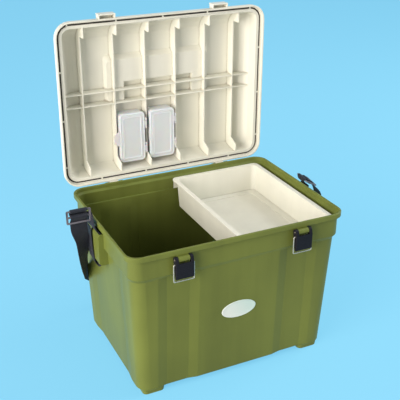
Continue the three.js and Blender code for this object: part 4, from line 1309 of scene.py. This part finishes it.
@dataclass
class ShoulderStrap:
    """Black webbing, its two slider buckles and the short loops on the tub's lugs.

    Sizes are in millimetres. Each row of a table is a stop: three shares that give its place, then
    the direction of the webbing's width. The strap's shares are of the rim's half width, half depth
    and top. A loop's run from the lug's slot outwards, along the width and up its stretch.
    """

    width_mm: float = 34.0
    thickness_mm: float = 1.2
    selvedge_mm: float = 0.35
    selvedge_shares: tuple[float, float, float] = (0.3, 0.72, 0.25)
    slider_edge_mm: float = 0.7
    bar_gap_mm: float = 0.3
    wrap_gap_mm: float = 0.35
    lug_gap_mm: float = 0.6
    soft_deg: float = 50.0
    near_share: float = 0.01
    per_span: int = 10
    across_steps: int = 12
    buckle_out: float = 32.7
    buckle_y: float = 8.0
    buckle_over: float = 15.8
    buckle_bar: float = 3.5
    buckle_slot: float = 9.0
    buckle_thickness: float = 3.0
    right_out: float = 24.7
    right_y: float = 12.0
    right_under: float = 5.2
    right_lean: float = 27.0
    right_turn: float = 8.0
    lug_face: float = 238.0
    lug_bar: float = 3.6
    lug_top: float = 304.0
    lug_bottom: float = 236.0
    lug_y: float = 3.0
    left_shares: Rows = (
        (-1.1337, 0.0811, 0.9439, -1, 0, 0),
        (-1.1016, 0.1275, 0.8606, -0.93, -0.36, 0),
        (-1.078, 0.2086, 0.7588, -0.85, -0.49, -0.2),
        (-1.045, 0.3824, 0.6416, -0.66, -0.7, -0.27),
        (-0.9859, 0.6083, 0.5028, -0.52, -0.75, -0.41),
        (-0.8916, 0.956, 0.364, -0.3, -0.55, -0.78),
        (-0.6858, 1.1587, 0.2406, -0.3, 0.5, -0.55),
        (-0.3601, 1.1993, 0.1912, -0.1, 0.9, -0.3),
    )
    right_shares: Rows = (
        (1.2109, 0.0463, 0.9038, 0.03, 0.99, 0.1),
        (1.2447, 0.0695, 0.8174, 0, 0.98, 0.2),
        (1.2045, 0.1912, 0.6848, 0, 0.85, 0.5),
        (1.1059, 0.4635, 0.5676, 0, 0.6, 0.8),
        (1.0244, 0.7532, 0.4812, -0.1, 0.48, 0.87),
        (0.9087, 1.0429, 0.401, -0.35, 0.3, 0.88),
        (0.6858, 1.1703, 0.3023, -0.17, 0.7, 0.69),
        (0.3601, 1.1993, 0.2159, -0.03, 0.9, 0.35),
    )
    middle_shares: tuple[float, ...] = (0, 1.2051, 0.1758, 0, 1, 0)
    low_shares: Rows = (
        (1.3, 0.8, 1.1, 0, 1, 0.05),
        (1.14, 0.75, 0.5, 0, 1, 0.08),
        (1.02, 0.66, 0.2, 0, 1, 0.1),
        (0.95, 0.5, 0.02, 0, 1, 0.1),
        (0.7, 0.27, -0.05, 0, 1, 0.05),
        (0.45, 0.09, -0.066, 0, 1, 0),
        (0.119, 0, -0.015, 0, 1, 0),
        (0, 0, 0.088, 0, 1, 0),
        (0, 0, 1, 0, 1, 0),
    )
    left_rise: Rows = (
        (0.179, 0.074, 0.139, -0.02, 1.0, 0.0),
        (0.295, 0.176, 0.375, -0.06, 0.98, -0.21),
        (0.382, 0.382, 0.694, -0.28, 0.91, -0.31),
        (0.62, 0.529, 1.0, -0.75, 0.63, -0.21),
        (0.93, 0.47, 1.06, -0.98, 0.2, -0.05),
    )
    right_rise: Rows = (
        (0.157, 0.044, 0.267, 0, 1, 0),
        (0.429, 0.103, 0.3, 0.03, 1, 0),
        (0.705, 0.176, 0.333, 0.06, 1, 0),
        (0.854, 0.25, 0.507, 0.09, 1, 0),
        (0.717, 0.294, 0.72, 0.12, 1, 0),
    )
    left_lead: Pair = (-3.3, 2.3)
    right_lead: Pair = (-1.0, 2.2)
    wrap_turns: Sequence[float] = (45, 0, -45, -90, -135, -180)

    @property
    def web_offset(self) -> float:
        """The webbing's distance from the buckle's middle plane."""
        return self.buckle_thickness / 2 + self.bar_gap_mm + self.thickness_mm

    @property
    def half_height(self) -> float:
        """Half the buckle's height."""
        return self.buckle_bar * 1.5 + self.buckle_slot

    def stance(self, side: Side) -> Stance:
        """Where a buckle stands.

        Args:
            side: the strap's end.

        Returns:
            The stance.
        """
        if side is Side.LEFT:
            x = -SIZES.rim_half_width - self.buckle_out
            middle = SIZES.point(x, self.buckle_y, SIZES.rim_top + self.buckle_over)
            return Stance(Vector(middle), Vector((-1, 0, 0)), Vector((0, 0, 1)), Vector((0, 1, 0)))
        lean, turn = math.radians(self.right_lean), math.radians(self.right_turn)
        x = SIZES.rim_half_width + self.right_out
        middle = SIZES.point(x, self.right_y, SIZES.rim_top - self.right_under)
        c, s, ct, st = math.cos(lean), math.sin(lean), math.cos(turn), math.sin(turn)
        across = Vector((st, ct, 0))
        return Stance(Vector(middle), across, Vector((-c * ct, c * st, s)), Vector((-s * ct, s * st, -c)))

    @staticmethod
    def _hung(shares: Sequence[float]) -> Stop:
        """A stop of the hanging stretch.

        Args:
            shares: a row of the strap's tables.

        Returns:
            The stop.
        """
        x, y, z, *across = shares
        at = SIZES.point(x * SIZES.rim_half_width, y * SIZES.rim_half_depth, z * SIZES.rim_top)
        return Stop(Vector(at), Vector(across).normalized())

    def _half(self, side: Side) -> list[Stop]:
        """Half of the strap, from its tail in the buckle to beside the middle of the back.

        Args:
            side: the strap's end.

        Returns:
            The stops.
        """
        bar = self.buckle_bar / 2
        slot = (self.buckle_bar + self.buckle_slot) / 2
        stance = self.stance(side)
        inside = [
            (-bar, self.web_offset),
            (bar, self.web_offset),
            (bar + self.thickness_mm * 2, 0.0),
            (bar, -self.web_offset),
            (-bar, -self.web_offset),
            (-slot, 0.0),
            (-slot * 2 + bar, self.web_offset),
            (-self.half_height - self.thickness_mm, self.web_offset + self.thickness_mm),
        ]
        shares = self.left_shares if side is Side.LEFT else self.right_shares
        return [stance.stop(up, back) for up, back in inside] + [self._hung(row) for row in shares]

    def strap_route(self) -> list[Stop]:
        """The whole strap, from the left tail behind the tub to the right tail."""
        right = self._half(Side.RIGHT)
        return self._half(Side.LEFT) + [self._hung(self.middle_shares)] + right[::-1]

    def loop_route(self, side: Side) -> list[Stop]:
        """A loop: turned-up end, slot, the rise and the wrap round the buckle's upper bar.

        Args:
            side: the strap's end.

        Returns:
            The stops.
        """
        slot = self.lug_face - self.lug_bar - self.web_offset
        face = self.lug_face + self.lug_gap_mm + self.thickness_mm
        stance = self.stance(side)
        left = side is Side.LEFT
        reach = abs(stance.middle.x) / MM
        top = stance.middle.z / MM
        stops = []
        for table, out, low, high in (
            (self.low_shares, face, self.lug_bottom, self.lug_top),
            (self.left_rise if left else self.right_rise, reach, self.lug_top, top),
        ):
            for x, y, z, *across in table:
                at = SIZES.point(
                    side.value * (slot + (out - slot) * x),
                    self.lug_y + self.width_mm * y,
                    low + (high - low) * z,
                )
                stops.append(Stop(Vector(at), Vector(across).normalized()))
        bar = self.half_height - self.buckle_bar / 2
        radius = math.hypot(self.buckle_bar, self.buckle_thickness) / 2
        radius += self.wrap_gap_mm + self.thickness_mm / 2
        lead = self.left_lead if left else self.right_lead
        stops.append(stance.stop(bar + radius * lead[0], radius * lead[1]))
        for degrees in self.wrap_turns:
            a = math.radians(degrees)
            stops.append(stance.stop(bar + radius * math.cos(a), radius * math.sin(a)))
        return stops

    def build(self, paint: Paint) -> None:
        """Makes the strap, the loops and the buckles.

        Args:
            paint: hands out the finishes.
        """
        strap, length = self._webbing("shoulder_webbing", self.strap_route(), paint)
        seat(strap, "tub_body", "webbing", "shoulder_strap")
        for side in Side:
            word = side.word
            slider = paint(Finish.SLIDER)
            made = moulded_copy(f"{word}_buckle", f"{word}_slider", slider, self.slider_edge_mm)
            seat(made, "tub_body", "black_plastic", f"{word}_buckle")
            loop, cut = self._webbing(f"{word}_loop_webbing", self.loop_route(side), paint)
            seat(loop, "tub_body", "webbing", f"{word}_strap_loop")

    def _section(self) -> Outline:
        """The webbing's cross-section with its rounded selvedges.

        Returns:
            Its points across and through, in millimetres, once round.
        """
        half, thick, edge = self.width_mm / 2, self.thickness_mm / 2, self.selvedge_mm
        top = []
        for i in range(self.across_steps + 1):
            u = -half + edge + (self.width_mm - 2 * edge) * i / self.across_steps
            top.append((u, thick))
        near, high, low = self.selvedge_shares
        corner = [(half - edge * near, thick * high), (half, thick * low)]
        right = corner + [(u, -t) for u, t in reversed(corner)]
        bottom = [(u, -t) for u, t in reversed(top)]
        left = [(-u, -t) for u, t in corner] + [(-u, t) for u, t in reversed(corner)]
        return top + right + bottom + left

    def _webbing(self, name: str, route: Sequence[Stop], paint: Paint) -> tuple[Object, float]:
        """Sweeps the flat section along a route, with the width kept as the stops give it.

        Args:
            name: the new object's name.
            route: the stops.
            paint: hands out the finishes.

        Returns:
            The webbing, with its width and length in metres as its map, and its length.
        """
        samples = self._sampled(route)
        section = self._section()
        count = len(section)
        points, lengths = [], [0.0]
        for i, (centre, heading, across) in enumerate(samples):
            normal = heading.cross(across).normalized()
            if i:
                lengths.append(lengths[-1] + (centre - samples[i - 1][0]).length)
            for u, t in section:
                points.append(centre + across * (u * MM) + normal * (t * MM))
        mesh = mesh_of(name, points, tube_faces(len(samples), count))
        layer = mesh.uv_layers.new(name="weave")
        for loop in mesh.loops:
            k, i = divmod(loop.vertex_index, count)
            layer.data[loop.index].uv = (section[i][0] * MM + self.width_mm * MM / 2, lengths[k])
        made = new_object(name, mesh)
        recalculated(made.data)
        smooth_by(made.data, self.soft_deg)
        made.data.materials.append(paint(Finish.WEBBING))
        LOG.info("%s is %.3f m long", name, lengths[-1])
        return made, lengths[-1]

    def _sampled(self, route: Sequence[Stop]) -> list[tuple[Vector, Vector, Vector]]:
        """Follows a smooth line through the stops.

        Args:
            route: the stops.

        Returns:
            The points with their headings and width directions.
        """
        found = []
        spans = len(route) - 1
        places = [s.at for s in route]
        for i in range(spans * self.per_span + 1):
            span = min(i // self.per_span, spans - 1)
            share = i / self.per_span - span
            centre = centripetal(places, span, share)
            ahead = centripetal(places, span, min(share + self.near_share, 1.0))
            behind = centripetal(places, span, max(share - self.near_share, 0.0))
            across = route[span].across.lerp(route[span + 1].across, share).normalized()
            found.append((centre, (ahead - behind).normalized(), across))
        return found


def centripetal(points: Sequence[Vector], span: int, share: float) -> Vector:
    """A point on the centripetal Catmull-Rom line through some points.

    Args:
        points: the points that the line runs through.
        span: the span, from points[span] to the next one.
        share: the share of the span.

    Returns:
        The point.
    """
    p1, p2 = points[span], points[span + 1]
    p0 = points[span - 1] if span > 0 else p1 * 2 - p2
    p3 = points[span + 2] if span + 2 < len(points) else p2 * 2 - p1
    d0, d1, d2 = (max(d.length ** 0.5, SAME_POINT) for d in (p1 - p0, p2 - p1, p3 - p2))
    m1 = ((p1 - p0) / d0 - (p2 - p0) / (d0 + d1) + (p2 - p1) / d1) * d1
    m2 = ((p2 - p1) / d1 - (p3 - p1) / (d1 + d2) + (p3 - p2) / d2) * d1
    t = share
    a = 2 * t ** 3 - 3 * t ** 2 + 1
    b = t ** 3 - 2 * t ** 2 + t
    c = -2 * t ** 3 + 3 * t ** 2
    d = t ** 3 - t ** 2
    return p1 * a + m1 * b + p2 * c + m2 * d


@dataclass
class Studio:
    """Plain pale floor, soft lights and the camera."""

    camera_at: Point = (-0.64052, -1.330065, 0.9959)
    yaw_deg: float = 25.43
    pitch_deg: float = -24.43
    lens_mm: float = 69.6
    sensor_mm: float = 36.0
    clip: Pair = (0.05, 100.0)
    shift: Pair = (0.0146, -0.0144)
    floor_half: float = 30.0
    sky: float = 0.31
    aim: Point = (0.0, 0.0, 0.3)
    key_at: Point = (-2.6, -1.15, 1.05)
    key_watts: float = 117.0
    key_tone: Colour = (1.0, 0.935, 0.87)
    key_size: float = 2.2
    fill_at: Point = (2.6, -0.4, 2.1)
    fill_watts: float = 70.0
    fill_tone: Colour = (1.0, 1.0, 1.0)
    fill_size: float = 2.2
    backdrop: tuple[float, ...] = (0.27, 0.694, 0.948, 1.0)
    floor_seen: tuple[float, ...] = (0.1, 0.18, 0.2, 1.0)
    floor_glow: tuple[float, ...] = (0.195, 0.56, 0.8, 1.0)
    floor_plain: tuple[float, ...] = (0.6, 0.62, 0.62, 1.0)

    def build(self) -> None:
        """Makes the floor, the lights, the world and the camera."""
        self._camera()
        self._floor()
        self._world()
        self._soft_box("key", self.key_at, self.key_tone, self.key_size, self.key_watts)
        self._soft_box("fill", self.fill_at, self.fill_tone, self.fill_size, self.fill_watts)
        bpy.context.scene.view_settings.view_transform = "Standard"

    def _camera(self) -> None:
        """The camera at the photograph's place and angle."""
        data = bpy.data.cameras.new("camera")
        data.lens = self.lens_mm
        data.sensor_width = self.sensor_mm
        data.shift_x, data.shift_y = self.shift
        data.clip_start, data.clip_end = self.clip
        made = bpy.data.objects.new("camera", data)
        made.location = self.camera_at
        made.rotation_euler = (math.radians(90 + self.pitch_deg), 0.0, -math.radians(self.yaw_deg))
        bpy.context.scene.collection.objects.link(made)
        bpy.context.scene.camera = made

    def _floor(self) -> None:
        """The plain pale floor."""
        half = self.floor_half
        corners = [(-half, -half, 0), (half, -half, 0), (half, half, 0), (-half, half, 0)]
        floor = new_object("floor", mesh_of("floor", corners, [(0, 1, 2, 3)]))
        g = SurfaceGraph("pale_floor")
        seen = g.seen()
        g.set(Base_Color=g.mix(seen, self.floor_plain, self.floor_seen))
        g.set(Emission_Color=g.mix(seen, (0.0, 0.0, 0.0, 1.0), self.floor_glow))
        g.set(Emission_Strength=1.0, Roughness=0.95, Specular_IOR_Level=0.0)
        floor.data.materials.append(g.material)

    def _world(self) -> None:
        """Even light from all round, with a pale backdrop."""
        world = bpy.data.worlds.new("studio")
        bpy.context.scene.world = world
        world.use_nodes = True
        g = Graph(world.node_tree)
        plain = g.node("ShaderNodeBackground", None, {0: (1.0, 1.0, 1.0, 1.0), 1: self.sky})
        shown = g.node("ShaderNodeBackground", None, {0: self.backdrop, 1: 1.0})
        both = g.node("ShaderNodeMixShader", None, {0: g.seen(), 1: plain, 2: shown})
        g.node("ShaderNodeOutputWorld", None, {0: both}, None)

    def _soft_box(self, name: str, at: Point, tone: Colour, size: float, watts: float) -> None:
        """A square soft light that faces the box.

        Args:
            name: the light's name.
            at: where it stands.
            tone: its colour.
            size: its side.
            watts: its power.
        """
        data = bpy.data.lights.new(name, "AREA")
        data.shape = "SQUARE"
        data.size = size
        data.energy = watts
        data.color = tone
        made = bpy.data.objects.new(name, data)
        made.location = at
        made.rotation_euler = (Vector(self.aim) - Vector(at)).to_track_quat("-Z", "Y").to_euler()
        bpy.context.scene.collection.objects.link(made)


def main() -> None:
    """Builds the seat box piece by piece."""
    logging.basicConfig(level=logging.INFO, format="%(name)s: %(message)s")
    paint = Paint()
    sweep = SweepTree("round_sweep")
    Studio().build()
    Tub().build(paint)
    Lid().build(paint, sweep, StudTree("even_studs"))
    Tray().build(paint)
    TackleBoxes().build(paint, sweep)
    Latches().build(paint, sweep)
    ShoulderStrap().build(paint)


if __name__ == "__main__":
    main()
